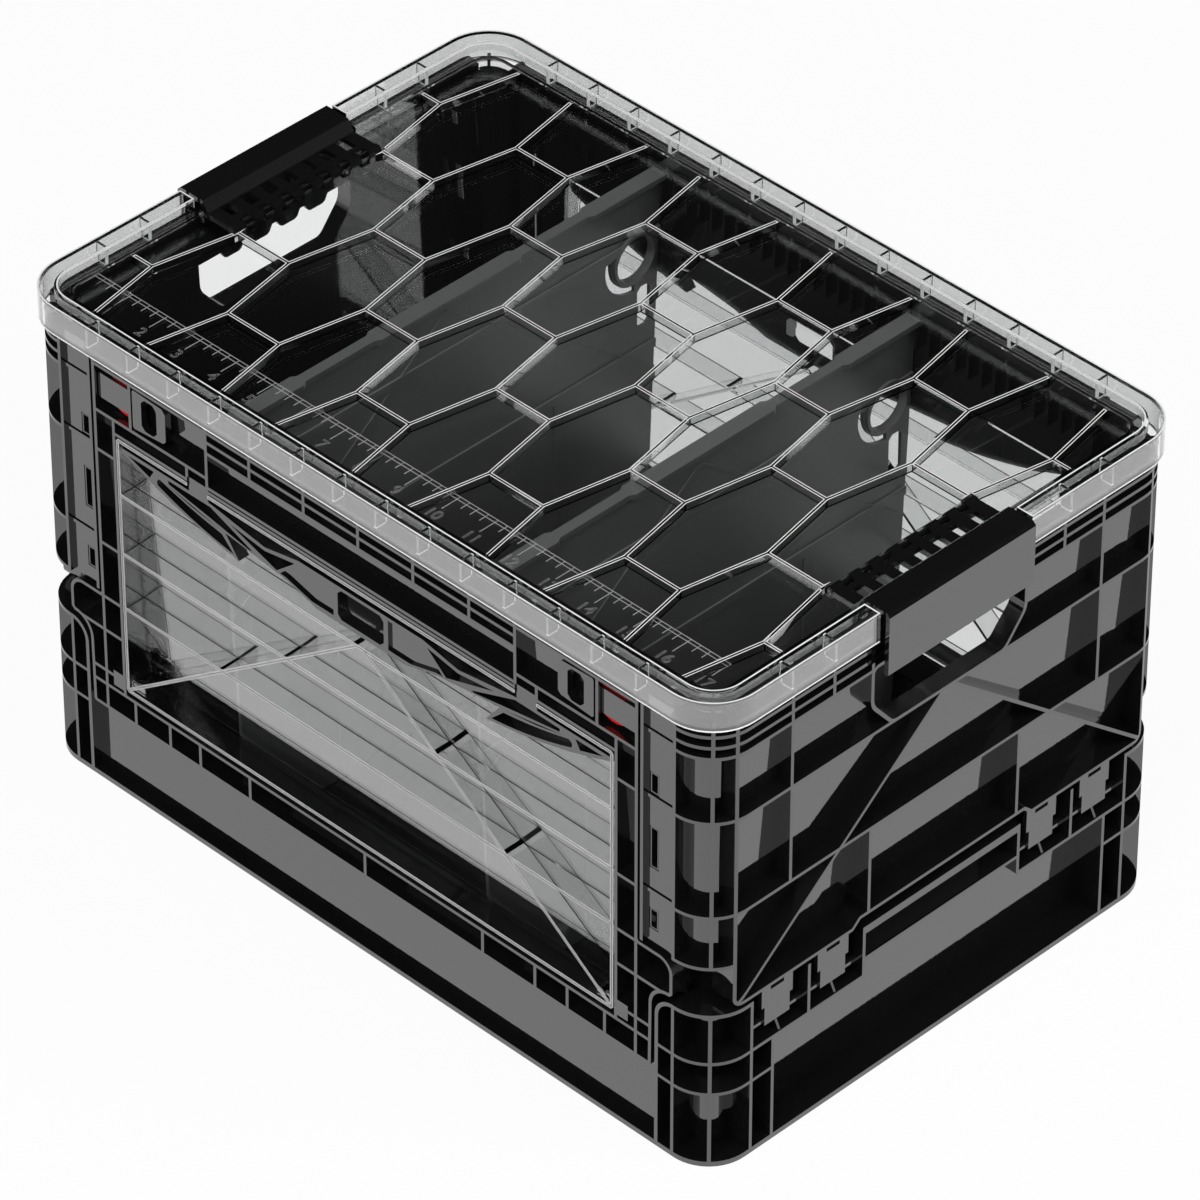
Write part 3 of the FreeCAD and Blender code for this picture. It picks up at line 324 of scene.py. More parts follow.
def new_group(name, inputs, outputs):
    """An empty shader group with the named float inputs and float outputs."""
    group = bpy.data.node_groups.new(name, "ShaderNodeTree")
    for label, value in inputs:
        socket = group.interface.new_socket(name=label, in_out="INPUT", socket_type="NodeSocketFloat")
        socket.default_value = value
    for label in outputs:
        group.interface.new_socket(name=label, in_out="OUTPUT", socket_type="NodeSocketFloat")
    entry = group.nodes.new("NodeGroupInput")
    leave = group.nodes.new("NodeGroupOutput")
    return group, entry, leave


def moulded_skin_group():
    """Fine moulding texture: a height for the bump, patches, and a patchy gloss between two limits."""
    group, entry, leave = new_group(
        "moulded_skin",
        (("Grain Scale", 900.0), ("Patch Scale", 14.0), ("Gloss Low", 0.05), ("Gloss High", 0.12)),
        ("Height", "Gloss", "Patch"))
    place = group.nodes.new("ShaderNodeTexCoord").outputs["Object"]
    grain = noise_node(group, place, entry.outputs["Grain Scale"], detail=2.0)
    patch = noise_node(group, place, entry.outputs["Patch Scale"], detail=3.0)
    span = math_node(group, "SUBTRACT", entry.outputs["Gloss High"], entry.outputs["Gloss Low"])
    gloss = math_node(group, "ADD", entry.outputs["Gloss Low"], math_node(group, "MULTIPLY", span, patch))
    group.links.new(grain, leave.inputs["Height"])
    group.links.new(gloss, leave.inputs["Gloss"])
    group.links.new(patch, leave.inputs["Patch"])
    return group


def handling_marks_group():
    """Fine rubbed lines from handling, as a mask from 0 to the given amount."""
    group, entry, leave = new_group("handling_marks", (("Line Scale", 60.0), ("Amount", 0.25)), ("Mask",))
    place = group.nodes.new("ShaderNodeTexCoord").outputs["Object"]
    turn = group.nodes.new("ShaderNodeMapping")
    turn.inputs["Rotation"].default_value = RUB_TURN
    turn.inputs["Scale"].default_value = RUB_STRETCH
    group.links.new(place, turn.inputs["Vector"])
    lines = noise_node(group, turn.outputs["Vector"], entry.outputs["Line Scale"], detail=4.0)
    ramp = group.nodes.new("ShaderNodeValToRGB")
    for element, position in zip(ramp.color_ramp.elements, RUB_RAMP):
        element.position = position
    group.links.new(lines, ramp.inputs["Fac"])
    mask = math_node(group, "MULTIPLY", ramp.outputs["Color"], entry.outputs["Amount"])
    group.links.new(mask, leave.inputs["Mask"])
    return group


def upright_faces_group():
    """A mask that is the given amount on upright faces and 0 on level ones."""
    group, entry, leave = new_group("upright_faces", (("Amount", 1.0),), ("Mask",))
    normal = group.nodes.new("ShaderNodeTexCoord").outputs["Normal"]
    split = group.nodes.new("ShaderNodeSeparateXYZ")
    group.links.new(normal, split.inputs["Vector"])
    level = math_node(group, "ABSOLUTE", split.outputs["Z"], 0.0)
    upright = math_node(group, "SUBTRACT", 1.0, level)
    group.links.new(math_node(group, "MULTIPLY", upright, entry.outputs["Amount"]), leave.inputs["Mask"])
    return group


def shared_group(name):
    """The named group, built the first time it is asked for."""
    if name in bpy.data.node_groups:
        return bpy.data.node_groups[name]
    makers = {"moulded_skin": moulded_skin_group, "handling_marks": handling_marks_group,
              "upright_faces": upright_faces_group}
    return makers[name]()


def place_group(tree, name, **values):
    """A shared group in a material, with its own values; an underscore stands for a space in a label."""
    node = tree.nodes.new("ShaderNodeGroup")
    node.node_tree = shared_group(name)
    for label, value in values.items():
        node.inputs[label.replace("_", " ")].default_value = value
    return node


# Finishes

def new_material(name):
    """A material with its node tree and its main shader."""
    material = bpy.data.materials.new(name)
    material.use_nodes = True
    return material, material.node_tree, material.node_tree.nodes["Principled BSDF"]


def moulded_plastic(name, colour, gloss, grain, relief, specular, marks):
    """Opaque moulded plastic with fine grain, patchy gloss and faint rubbed lines."""
    material, tree, shader = new_material(name)
    skin = place_group(tree, "moulded_skin", Grain_Scale=grain, Patch_Scale=16.0,
                       Gloss_Low=gloss[0], Gloss_High=gloss[1])
    rubbed = place_group(tree, "handling_marks", Line_Scale=55.0, Amount=marks)
    mask = math_node(tree, "MULTIPLY", skin.outputs["Patch"], PATCH_SHARE)
    mask = math_node(tree, "ADD", mask, rubbed.outputs["Mask"])
    tint = mixed_colour(tree, mask, opaque(colour), paler(colour, gain=1.5, lift=0.004))
    tree.links.new(tint, shader.inputs["Base Color"])
    dulled = math_node(tree, "MULTIPLY", rubbed.outputs["Mask"], RUB_ROUGHNESS)
    tree.links.new(math_node(tree, "ADD", skin.outputs["Gloss"], dulled), shader.inputs["Roughness"])
    normal = bumped(tree, skin.outputs["Height"], strength=0.08, distance=relief)
    tree.links.new(normal, shader.inputs["Normal"])
    shader.inputs["Specular IOR Level"].default_value = specular
    shader.inputs["IOR"].default_value = PLASTIC_INDEX
    return material


def pale_level_faces(material, colour):
    """Mixes a second colour into the base colour of a material on level faces, as painted light on the tops.
    """
    tree = material.node_tree
    base = tree.nodes["Principled BSDF"].inputs["Base Color"]
    upright = place_group(tree, "upright_faces", Amount=1.0)
    level = math_node(tree, "SUBTRACT", 1.0, upright.outputs["Mask"])
    tree.links.new(mixed_colour(tree, level, base.links[0].from_socket, opaque(colour)), base)


def clear_plastic(name, colour, index, film_index):
    """Clear moulded plastic with its index of refraction and that of the gloss film on its upright faces."""
    material, tree, shader = new_material(name)
    skin = place_group(tree, "moulded_skin", Grain_Scale=25.0, Patch_Scale=6.0,
                       Gloss_Low=0.0, Gloss_High=0.003)
    rubbed = place_group(tree, "handling_marks", Line_Scale=40.0, Amount=0.006)
    roughness = math_node(tree, "ADD", skin.outputs["Gloss"], rubbed.outputs["Mask"])
    tree.links.new(roughness, shader.inputs["Roughness"])
    normal = bumped(tree, skin.outputs["Height"], strength=0.004, distance=0.0002)
    tree.links.new(normal, shader.inputs["Normal"])
    shader.inputs["Base Color"].default_value = opaque(colour)
    shader.inputs["IOR"].default_value = index
    shader.inputs["Transmission Weight"].default_value = 1.0
    upright = place_group(tree, "upright_faces", Amount=1.0)
    tree.links.new(upright.outputs["Mask"], shader.inputs["Coat Weight"])
    shader.inputs["Coat Roughness"].default_value = 0.01
    shader.inputs["Coat IOR"].default_value = film_index
    open_air = tree.nodes.new("ShaderNodeBsdfTransparent")
    open_air.inputs["Color"].default_value = opaque(CLEAR_SHADOW)
    shadow_ray = tree.nodes.new("ShaderNodeLightPath").outputs["Is Shadow Ray"]
    surface_of_two(tree, shadow_ray, shader.outputs["BSDF"], open_air.outputs["BSDF"])
    return material


def frosted_marks(name, colour, cover):
    """Frosted moulded marks that catch a little light, and near-white painted highlight lines along clear
    edges.
    """
    material, tree, shader = new_material(name)
    skin = place_group(tree, "moulded_skin", Grain_Scale=1500.0, Patch_Scale=90.0,
                       Gloss_Low=0.35, Gloss_High=0.6)
    tint = mixed_colour(tree, skin.outputs["Patch"], opaque(colour), paler(colour, gain=1.3, lift=0.0))
    tree.links.new(tint, shader.inputs["Base Color"])
    tree.links.new(skin.outputs["Gloss"], shader.inputs["Roughness"])
    normal = bumped(tree, skin.outputs["Height"], strength=0.1, distance=0.0002)
    tree.links.new(normal, shader.inputs["Normal"])
    shader.inputs["Alpha"].default_value = cover
    return material


def drawn_steel(name):
    """Bright steel wire of the latch pins, with a fine grain and patchy gloss."""
    material, tree, shader = new_material(name)
    skin = place_group(tree, "moulded_skin", Grain_Scale=1200.0, Patch_Scale=80.0,
                       Gloss_Low=0.18, Gloss_High=0.34)
    tint = mixed_colour(tree, skin.outputs["Patch"], opaque(STEEL_DARK), opaque(STEEL_PALE))
    tree.links.new(tint, shader.inputs["Base Color"])
    tree.links.new(skin.outputs["Gloss"], shader.inputs["Roughness"])
    normal = bumped(tree, skin.outputs["Height"], strength=0.1, distance=0.0001)
    tree.links.new(normal, shader.inputs["Normal"])
    shader.inputs["Metallic"].default_value = 1.0
    return material


def paint(names, material):
    """Gives CAD nodes one finish."""
    for name in names:
        node = NODES[name]
        node.data.materials.clear()
        node.data.materials.append(material)


# Added pieces

def finished_mesh(name, shape):
    """A mesh made from a bmesh, which is freed."""
    mesh = bpy.data.meshes.new(name)
    shape.to_mesh(mesh)
    shape.free()
    return mesh


def placed_object(name, mesh, material):
    """An object at the origin with one mesh and one finish."""
    mesh.materials.append(material)
    thing = bpy.data.objects.new(name, mesh)
    bpy.context.scene.collection.objects.link(thing)
    return thing


def add_piece(name, mesh, material, body):
    """A finished mesh as an object that rides on a body."""
    piece = placed_object(name, mesh, material)
    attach(piece, body)


def block(shape, low, high):
    """One box in a bmesh, from its lowest to its highest corner."""
    middle = (Vector(low) + Vector(high)) / 2
    size = Vector(high) - Vector(low)
    bmesh.ops.create_cube(shape, size=1.0, matrix=Matrix.Translation(middle) @ Matrix.Diagonal((*size, 1)))


def push_out(shape, faces, vector, **options):
    """Extrudes faces along a vector and gives the vertices that moved."""
    pushed = bmesh.ops.extrude_face_region(shape, geom=faces, **options)
    moved = [item for item in pushed["geom"] if isinstance(item, bmesh.types.BMVert)]
    bmesh.ops.translate(shape, verts=moved, vec=vector)
    return moved


def lid_panel_top():
    """Top of the flat lid panel, below the rim."""
    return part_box("lid")[1].z - LID_PANEL_DROP


def ruler_ticks(sizes):
    """One mesh of flat raised ticks, four to the inch, with two lines along their roots."""
    shape = bmesh.new()
    low = lid_panel_top()
    high = low + sizes.relief
    half = sizes.tick_width / 2
    end_x = sizes.zero_x + sizes.inches * INCH
    for quarter in range(sizes.inches * 4 + 1):
        x = sizes.zero_x + quarter * INCH / 4
        length = sizes.long_tick if quarter % 4 == 0 else sizes.short_tick
        block(shape, (x - half, sizes.line_y - length, low), (x + half, sizes.line_y, high))
    for y in (sizes.line_y, sizes.line_y - sizes.rail_gap):
        block(shape, (sizes.zero_x, y - half, low), (end_x, y + half, high))
    return finished_mesh("ruler_ticks", shape)


def ruler_numbers(sizes):
    """One mesh of outlined raised numbers, made from the plain built-in letters."""
    whole = bmesh.new()
    depsgraph = bpy.context.evaluated_depsgraph_get()
    for number in range(1, sizes.inches + 1):
        words = bpy.data.curves.new("ruler_digit", "FONT")
        words.body = str(number)
        words.size = sizes.digit_height * LETTER_SIZE_RATIO
        words.align_x = "CENTER"
        words.align_y = "CENTER"
        words.fill_mode = "NONE"
        words.bevel_depth = sizes.stroke
        words.bevel_resolution = 0
        letter = bpy.data.objects.new("ruler_digit", words)
        bpy.context.scene.collection.objects.link(letter)
        depsgraph.update()
        mesh = bpy.data.meshes.new_from_object(letter.evaluated_get(depsgraph))
        x = sizes.zero_x + number * INCH
        mesh.transform(Matrix.Translation((x, sizes.digit_y, lid_panel_top() + sizes.relief / 2)))
        whole.from_mesh(mesh)
        bpy.data.objects.remove(letter)
        bpy.data.curves.remove(words)
        bpy.data.meshes.remove(mesh)
    bmesh.ops.remove_doubles(whole, verts=whole.verts, dist=MERGE)
    return finished_mesh("ruler_numbers", whole)


def rectangular_ring(shape, place, side, mouth, wall, near, far):
    """A rectangular ring round a mouth that faces along Y, between two depths behind a place."""
    wide = mouth[0] + 2 * wall
    tall = mouth[1] + 2 * wall
    start = Matrix.Translation(place - Vector((0, side * near, 0)))
    upright = start @ Matrix.Rotation(math.radians(90), 4, "X")
    made = bmesh.ops.create_grid(shape, x_segments=1, y_segments=1, size=0.5,
                                 matrix=upright @ Matrix.Diagonal((wide, tall, 1, 1)))
    plate = list({face for vert in made["verts"] for face in vert.link_faces})
    inset = bmesh.ops.inset_region(shape, faces=plate, thickness=wall, use_boundary=True,
                                   use_even_offset=True)
    bmesh.ops.delete(shape, geom=plate, context="FACES_ONLY")
    push_out(shape, inset["faces"], (0, -side * (far - near), 0), use_keep_orig=True)


def post_slot_frames(sizes):
    """One mesh of the framed mouths of the slots in the four post legs, each with a flange behind the leg."""
    low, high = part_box("right_end_wall")
    shape = bmesh.new()
    across = low.x + POST_SLOT_INSET
    out = high.y - POST_LEG_RECESS
    back = POST_LEG_WALL + TOUCH
    deep = back + SLOT_FLANGE_DEPTH
    for drop, tall in POST_SLOTS:
        mouth = (sizes.slot_mouth, tall - SLOT_END_ROOM)
        for side_x in (-1, 1):
            for side_y in (-1, 1):
                place = Vector((side_x * across, side_y * out, high.z - drop))
                rectangular_ring(shape, place, side_y, mouth, sizes.slot_lip, SLOT_LIP_SETBACK, back)
                rectangular_ring(shape, place, side_y, mouth, sizes.slot_flange, back, deep)
    bmesh.ops.remove_doubles(shape, verts=shape.verts, dist=MERGE)
    bmesh.ops.recalc_face_normals(shape, faces=shape.faces)
    return finished_mesh("post_slot_frames", shape)


def rim_web_places(sizes):
    """The axis that each web of the lid rim lies along, its side of the lid, its outer end and its middle."""
    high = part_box("lid")[1]
    x_out = high.x - LID_WALL - TOUCH
    y_out = high.y - LID_WALL - TOUCH
    count = int((x_out - LID_CORNER) / sizes.web_pitch + 0.5)
    for side in (-1, 1):
        for step in range(-count, count):
            yield Y_AXIS, side, y_out, (step + 0.5) * sizes.web_pitch
        y = sizes.web_end_first
        while y < y_out - LID_CORNER + WEB_CORNER_REACH:
            yield X_AXIS, side, x_out, -y
            yield X_AXIS, side, x_out, y
            y += sizes.web_pitch


def rim_web_heights(sizes):
    """Bottom and top of the webs of the lid rim."""
    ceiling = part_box("lid")[1].z - LID_WALL
    return ceiling - sizes.web_height, ceiling - TOUCH


def web_block(shape, axis, ends, middle, thickness, heights):
    """One box between two ends along an axis and two heights, about a middle across the axis."""
    low = [0, 0, heights[0]]
    high = [0, 0, heights[1]]
    across = Y_AXIS if axis == X_AXIS else X_AXIS
    low[axis], high[axis] = sorted(ends)
    low[across] = middle - thickness / 2
    high[across] = middle + thickness / 2
    block(shape, low, high)


def rim_webs(sizes):
    """One mesh of short webs in the hollow rim of the lid, all round it."""
    shape = bmesh.new()
    heights = rim_web_heights(sizes)
    for axis, side, outer, middle in rim_web_places(sizes):
        ends = (side * outer, side * (outer - sizes.web_reach))
        web_block(shape, axis, ends, middle, sizes.web_thickness, heights)
    return finished_mesh("rim_webs", shape)


def rim_web_edges(sizes):
    """One mesh of painted highlights on the edges of the rim webs: a foot below each and a line up its inner
    end.
    """
    shape = bmesh.new()
    bottom, top = rim_web_heights(sizes)
    line = sizes.rim_line
    for axis, side, outer, middle in rim_web_places(sizes):
        inner = outer - sizes.web_reach
        foot = (side * outer, side * inner)
        web_block(shape, axis, foot, middle, sizes.web_thickness, (bottom - line, bottom - TOUCH))
        end = (side * (inner - TOUCH), side * (inner - line))
        web_block(shape, axis, end, middle, sizes.web_thickness, (bottom, top))
    return finished_mesh("rim_web_edges", shape)


def rib_edge_lines(name, axis, way, level, width, relief):
    """Thin painted highlight lines along the edges of those faces of a moulding that face one way on an axis
    at one level.
    """
    node = NODES[name]
    shape = bmesh.new()
    shape.from_mesh(node.data)
    shape.transform(node.matrix_world)
    bmesh.ops.remove_doubles(shape, verts=shape.verts, dist=MERGE)
    shape.normal_update()
    outward = Vector((0, 0, 0))
    outward[axis] = way
    others = [face for face in shape.faces if face.normal.dot(outward) < FLAT_ENOUGH
              or abs(face.calc_center_median()[axis] - level) > LEVEL_SLACK]
    bmesh.ops.delete(shape, geom=others, context="FACES")
    inset = bmesh.ops.inset_region(shape, faces=list(shape.faces), thickness=width, use_boundary=True,
                                   use_even_offset=True)
    lines = set(inset["faces"])
    bmesh.ops.delete(shape, geom=[face for face in shape.faces if face not in lines], context="FACES")
    bmesh.ops.translate(shape, verts=shape.verts, vec=outward * TOUCH)
    push_out(shape, list(shape.faces), outward * relief)
    bmesh.ops.recalc_face_normals(shape, faces=shape.faces)
    return finished_mesh(name + "_edge_lines", shape)


def divider_collars(name, sizes):
    """Short tubes round the two finger holes of a divider."""
    low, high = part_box(name)
    shape = bmesh.new()
    for side in (-1, 1):
        centre = ((low.x + high.x) / 2, side * (high.y - COLLAR_INSET), high.z - COLLAR_DROP)
        place = Matrix.Translation(centre) @ Matrix.Rotation(math.radians(90), 4, "Y")
        rings = []
        for radius in (sizes.collar_radius, sizes.collar_radius + sizes.collar_wall):
            made = bmesh.ops.create_circle(shape, cap_ends=False, segments=COLLAR_SIDES, radius=radius,
                                           matrix=place)
            rings += made["verts"]
        edges = [edge for edge in shape.edges if edge.verts[0] in set(rings)]
        bridge = bmesh.ops.bridge_loops(shape, edges=edges)
        moved = push_out(shape, bridge["faces"], (sizes.collar_depth, 0, 0))
        bmesh.ops.translate(shape, verts=list(set(moved + rings)), vec=(-sizes.collar_depth / 2, 0, 0))
    bmesh.ops.recalc_face_normals(shape, faces=shape.faces)
    return finished_mesh(name + "_collars", shape)


# Studio

def floor_material():
    """Pale floor: plain paint under the lamps, white where the camera and the gloss see it, shadow kept."""
    material, tree, shader = new_material("studio_floor")
    shader.inputs["Base Color"].default_value = opaque(FLOOR_PAINT)
    shader.inputs["Roughness"].default_value = 0.9
    shader.inputs["Specular IOR Level"].default_value = 0.0
    glow = tree.nodes.new("ShaderNodeEmission")
    glow.inputs["Color"].default_value = (1, 1, 1, 1)
    glow.inputs["Strength"].default_value = 1.0
    path = tree.nodes.new("ShaderNodeLightPath")
    seen = math_node(tree, "MAXIMUM", path.outputs["Is Camera Ray"], path.outputs["Is Glossy Ray"])
    seen = math_node(tree, "MAXIMUM", seen, path.outputs["Is Transmission Ray"])
    share = math_node(tree, "MULTIPLY", seen, FLOOR_GLOW_SHARE)
    surface_of_two(tree, share, shader.outputs["BSDF"], glow.outputs["Emission"])
    return material


def studio_floor(size):
    """A level square floor just below the crate."""
    shape = bmesh.new()
    bmesh.ops.create_grid(shape, x_segments=1, y_segments=1, size=size / 2,
                          matrix=Matrix.Translation((0, 0, -FLOOR_DROP)))
    placed_object("studio_floor", finished_mesh("studio_floor", shape), floor_material())


def studio_world():
    """Dark ceiling that brightens to the horizon, so that upward faces of the crate stay dark."""
    world = bpy.data.worlds.new("studio_world")
    bpy.context.scene.world = world
    world.use_nodes = True
    tree = world.node_tree
    back = tree.nodes["Background"]
    place = tree.nodes.new("ShaderNodeTexCoord")
    split = tree.nodes.new("ShaderNodeSeparateXYZ")
    tree.links.new(place.outputs["Generated"], split.inputs["Vector"])
    ramp = tree.nodes.new("ShaderNodeValToRGB")
    horizon, ceiling = ramp.color_ramp.elements
    horizon.position = 0.0
    horizon.color = (1, 1, 1, 1)
    ceiling.position = CEILING_START
    ceiling.color = opaque(CEILING)
    tree.links.new(split.outputs["Z"], ramp.inputs["Fac"])
    tree.links.new(ramp.outputs["Color"], back.inputs["Color"])
    back.inputs["Strength"].default_value = 1.0


def studio_lamp(name, place, size, power):
    """A square soft lamp turned to the crate."""
    lamp = bpy.data.lights.new(name, "AREA")
    lamp.size = size
    lamp.energy = power
    holder = bpy.data.objects.new(name, lamp)
    holder.location = place
    holder.rotation_euler = (Vector(LAMP_AIM) - Vector(place)).to_track_quat("-Z", "Y").to_euler()
    holder.visible_glossy = False
    holder.visible_transmission = False
    bpy.context.scene.collection.objects.link(holder)


def studio_camera(sizes):
    """Long lens camera at the viewing angle of the photograph."""
    turn = sizes.azimuth
    rise = sizes.elevation
    back = Vector((math.sin(turn) * math.cos(rise), -math.cos(turn) * math.cos(rise), math.sin(rise)))
    right = Vector((math.cos(turn), math.sin(turn), 0))
    up = back.cross(right)
    target = Vector(CAMERA_AIM) + right * CAMERA_AIM_RIGHT - up * CAMERA_AIM_DOWN
    lens = bpy.data.cameras.new("studio_camera")
    lens.lens = sizes.lens
    lens.sensor_width = 36
    lens.clip_start = 0.05
    lens.clip_end = 60
    camera = bpy.data.objects.new("studio_camera", lens)
    camera.location = target + back * sizes.distance
    camera.rotation_euler = back.to_track_quat("Z", "Y").to_euler()
    bpy.context.scene.collection.objects.link(camera)
    bpy.context.scene.camera = camera


# Operators

class CRATE_OT_black_mouldings(bpy.types.Operator):
    """Finish the base, walls and frames in glossy black plastic"""
    bl_idname = "crate.black_mouldings"
    bl_label = "Black mouldings"

    def execute(self, context):
        black = moulded_plastic("black_moulding", context.scene.crate_finish.black, gloss=(0.02, 0.045),
                                grain=700.0, relief=0.0001, specular=1.0, marks=0.04)
        paint(BLACK_MOULDINGS, black)
        return {"FINISHED"}


class CRATE_OT_black_fittings(bpy.types.Operator):
    """Finish the locks and latches in black plastic with a finer grain"""
    bl_idname = "crate.black_fittings"
    bl_label = "Locks and latches"

    def execute(self, context):
        black = moulded_plastic("black_fitting", context.scene.crate_finish.black, gloss=(0.03, 0.07),
                                grain=1100.0, relief=0.0001, specular=1.0, marks=0.06)
        paint(BLACK_FITTINGS, black)
        return {"FINISHED"}


class CRATE_OT_clear_mouldings(bpy.types.Operator):
    """Finish the lid, the doors and the door pins in clear plastic"""
    bl_idname = "crate.clear_mouldings"
    bl_label = "Clear lid and doors"

    def execute(self, context):
        tint = context.scene.crate_finish.clear
        paint(("lid",), clear_plastic("clear_moulding", tint, index=1.6, film_index=2.0))
        paint(CLEAR_DOORS, clear_plastic("clear_door", tint, index=1.75, film_index=1.8))
        return {"FINISHED"}


class CRATE_OT_dividers(bpy.types.Operator):
    """Finish the two loose dividers in satin grey plastic, with painted light on their level faces"""
    bl_idname = "crate.dividers"
    bl_label = "Dividers"

    def execute(self, context):
        finish = context.scene.crate_finish
        grey = moulded_plastic("divider_plastic", finish.divider, gloss=(0.28, 0.42),
                               grain=800.0, relief=0.0004, specular=0.5, marks=0.2)
        # Painted light: the level faces take the paler divider top colour.
        pale_level_faces(grey, finish.divider_top)
        paint(DIVIDERS, grey)
        return {"FINISHED"}


class CRATE_OT_hinge_fittings(bpy.types.Operator):
    """Finish the hinge clips and the steel latch pins"""
    bl_idname = "crate.hinge_fittings"
    bl_label = "Hinge clips and pins"

    def execute(self, context):
        clip = moulded_plastic("hinge_clip_plastic", context.scene.crate_finish.clip, gloss=(0.04, 0.09),
                               grain=900.0, relief=0.0001, specular=1.0, marks=0.06)
        paint(HINGE_CLIPS, clip)
        paint(STEEL_PINS, drawn_steel("drawn_steel"))
        return {"FINISHED"}


class CRATE_OT_indicators(bpy.types.Operator):
    """Finish the red discs behind the slide locks"""
    bl_idname = "crate.indicators"
    bl_label = "Lock indicators"

    def execute(self, context):
        red = moulded_plastic("indicator_red", context.scene.crate_finish.indicator, gloss=(0.25, 0.4),
                              grain=900.0, relief=0.0002, specular=0.5, marks=0.05)
        paint(("lock_indicators",), red)
        return {"FINISHED"}


class CRATE_OT_small_forms(bpy.types.Operator):
    """Add the webs of the lid rim, the collars of the dividers and the frames of the post slots"""
    bl_idname = "crate.small_forms"
    bl_label = "Rim webs, collars and slot frames"

    def execute(self, context):
        sizes = context.scene.crate_small_forms
        clear = bpy.data.materials["clear_moulding"]
        grey = bpy.data.materials["divider_plastic"]
        black = bpy.data.materials["black_moulding"]
        add_piece("lid_rim_webs", rim_webs(sizes), clear, "lid")
        for name in DIVIDERS:
            add_piece(name + "_collars", divider_collars(name, sizes), grey, name)
        add_piece("post_slot_frames", post_slot_frames(sizes), black, "crate")
        return {"FINISHED"}


class CRATE_OT_edge_lines(bpy.types.Operator):
    """Add painted highlight lines along the edges of the clear ribs, rim, webs and doors"""
    bl_idname = "crate.edge_lines"
    bl_label = "Edge lines of the clear parts"

    def execute(self, context):
        sizes = context.scene.crate_small_forms
        colour = context.scene.crate_finish.edge
        # Painted highlights: near-white lines along the clear edges, standing in for light glinting on the
        # rounded edges; the door ones are fainter.
        painted_highlight = frosted_marks("lid_highlight_paint", colour, cover=0.9)
        soft = frosted_marks("door_highlight_paint", colour, cover=0.35)
        low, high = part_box("lid")
        rib_top = lid_panel_top() + LID_RIB_HEIGHT
        for name, way, level, width, relief in (
                ("lid_edge_lines", 1, rib_top, sizes.edge_width, sizes.edge_relief),
                ("lid_rim_lines", 1, high.z, sizes.rim_line, sizes.edge_relief),
                ("lid_foot_lines", -1, low.z, sizes.rim_line, sizes.rim_line)):
            lines = rib_edge_lines("lid", Z_AXIS, way, level, width, relief)
            add_piece(name, lines, painted_highlight, "lid")
        add_piece("lid_web_edges", rim_web_edges(sizes), painted_highlight, "lid")
        for name, corner, way in (("front_door", 0, -1), ("back_door", 1, 1)):
            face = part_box(name)[corner].y
            lines = rib_edge_lines(name, Y_AXIS, way, face, sizes.edge_width, sizes.edge_relief)
            add_piece(name + "_edge_lines", lines, soft, name)
        return {"FINISHED"}


class CRATE_OT_lid_ruler(bpy.types.Operator):
    """Add the raised inch ruler to the lid"""
    bl_idname = "crate.lid_ruler"
    bl_label = "Lid ruler"

    def execute(self, context):
        sizes = context.scene.crate_ruler
        marks = frosted_marks("ruler_frosting", context.scene.crate_finish.ruler, cover=0.35)
        add_piece("lid_ruler_ticks", ruler_ticks(sizes), marks, "lid")
        add_piece("lid_ruler_numbers", ruler_numbers(sizes), marks, "lid")
        return {"FINISHED"}


class CRATE_OT_studio(bpy.types.Operator):
    """Add the floor, lamps, world and camera"""
    bl_idname = "crate.studio"
    bl_label = "Studio"

    def execute(self, context):
        sizes = context.scene.crate_studio
        studio_floor(sizes.floor_size)
        studio_world()
        studio_lamp("key_lamp", KEY_PLACE, KEY_SIZE, sizes.key_power)
        studio_lamp("fill_lamp", FILL_PLACE, FILL_SIZE, sizes.fill_power)
        studio_camera(sizes)
        context.scene.view_settings.view_transform = "Standard"
        return {"FINISHED"}


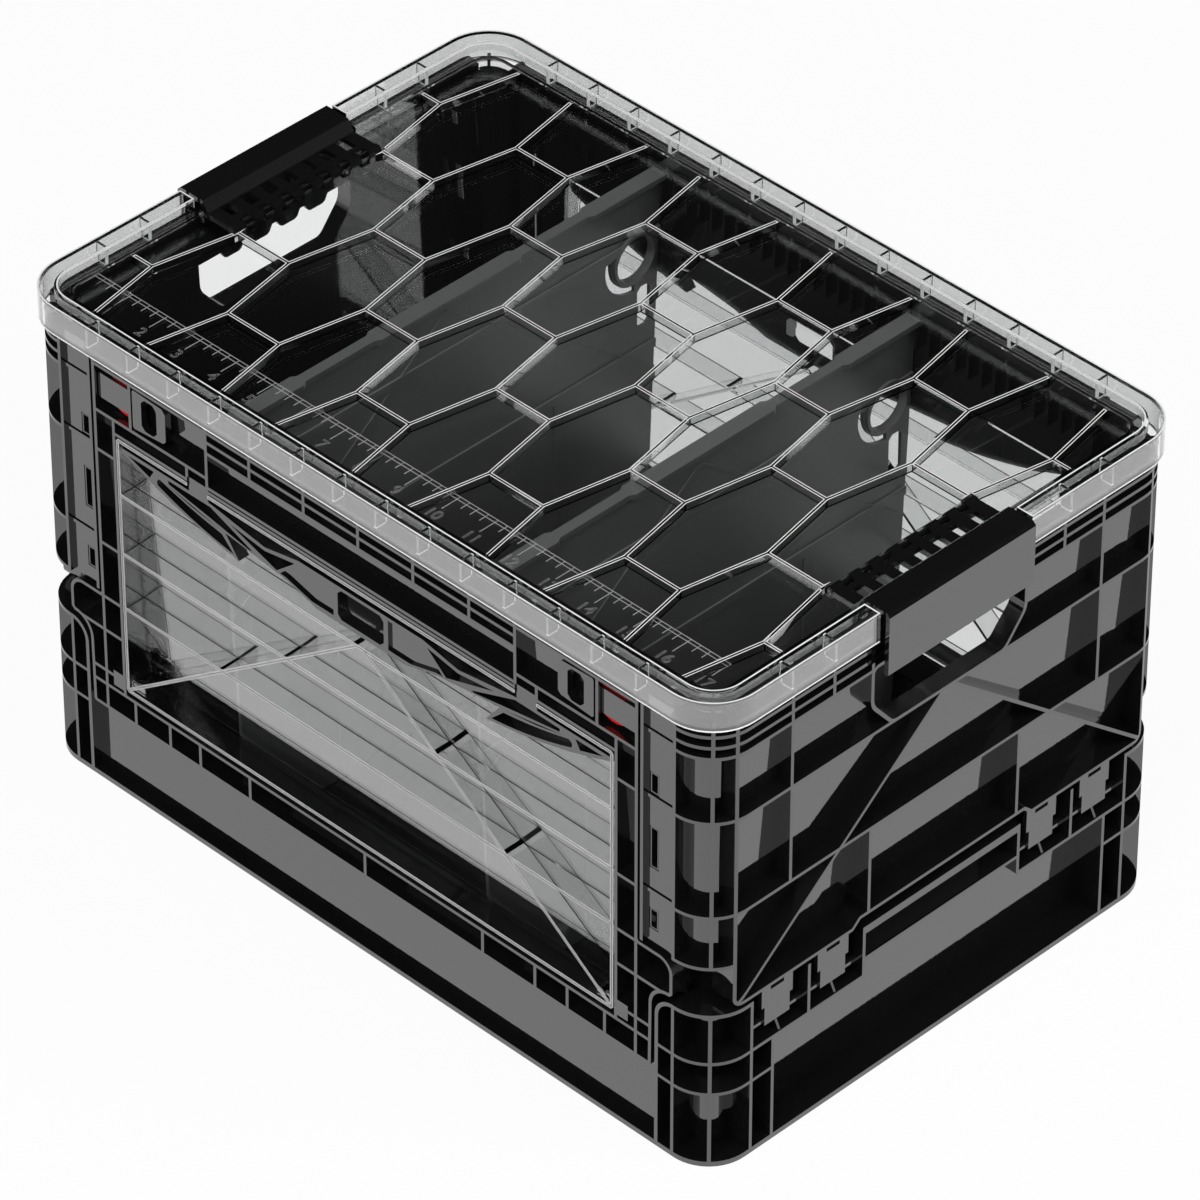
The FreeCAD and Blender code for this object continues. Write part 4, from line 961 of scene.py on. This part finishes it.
class CRATE_PT_looks(bpy.types.Panel):
    """Sidebar panel with the crate's finishes, ruler, small forms and studio"""
    bl_idname = "CRATE_PT_looks"
    bl_label = "Folding crate"
    bl_space_type = "VIEW_3D"
    bl_region_type = "UI"
    bl_category = "Crate"

    def draw(self, context):
        layout = self.layout
        scene = context.scene
        for group in (scene.crate_finish, scene.crate_ruler, scene.crate_small_forms, scene.crate_studio):
            column = layout.column()
            for name in group.__annotations__:
                column.prop(group, name)
        for operator in OPERATORS:
            layout.operator(operator.bl_idname)


GROUPS = (CrateFinish, CrateRuler, CrateSmallForms, CrateStudio)
OPERATORS = (CRATE_OT_black_mouldings, CRATE_OT_black_fittings, CRATE_OT_clear_mouldings, CRATE_OT_dividers,
             CRATE_OT_hinge_fittings, CRATE_OT_indicators, CRATE_OT_small_forms, CRATE_OT_edge_lines,
             CRATE_OT_lid_ruler, CRATE_OT_studio)
CLASSES = GROUPS + OPERATORS + (CRATE_PT_looks,)


def register():
    """Registers the classes and gives the scene its settings."""
    for item in CLASSES:
        bpy.utils.register_class(item)
    bpy.types.Scene.crate_finish = bpy.props.PointerProperty(type=CrateFinish)
    bpy.types.Scene.crate_ruler = bpy.props.PointerProperty(type=CrateRuler)
    bpy.types.Scene.crate_small_forms = bpy.props.PointerProperty(type=CrateSmallForms)
    bpy.types.Scene.crate_studio = bpy.props.PointerProperty(type=CrateStudio)


def unregister():
    """Takes the settings and the classes away again."""
    del bpy.types.Scene.crate_studio
    del bpy.types.Scene.crate_small_forms
    del bpy.types.Scene.crate_ruler
    del bpy.types.Scene.crate_finish
    for item in reversed(CLASSES):
        bpy.utils.unregister_class(item)


def main():
    """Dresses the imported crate."""
    register()
    bpy.ops.crate.black_mouldings()
    bpy.ops.crate.black_fittings()
    bpy.ops.crate.clear_mouldings()
    bpy.ops.crate.dividers()
    bpy.ops.crate.hinge_fittings()
    bpy.ops.crate.indicators()
    bpy.ops.crate.small_forms()
    bpy.ops.crate.edge_lines()
    bpy.ops.crate.lid_ruler()
    bpy.ops.crate.studio()


if __name__ == "__main__":
    main()
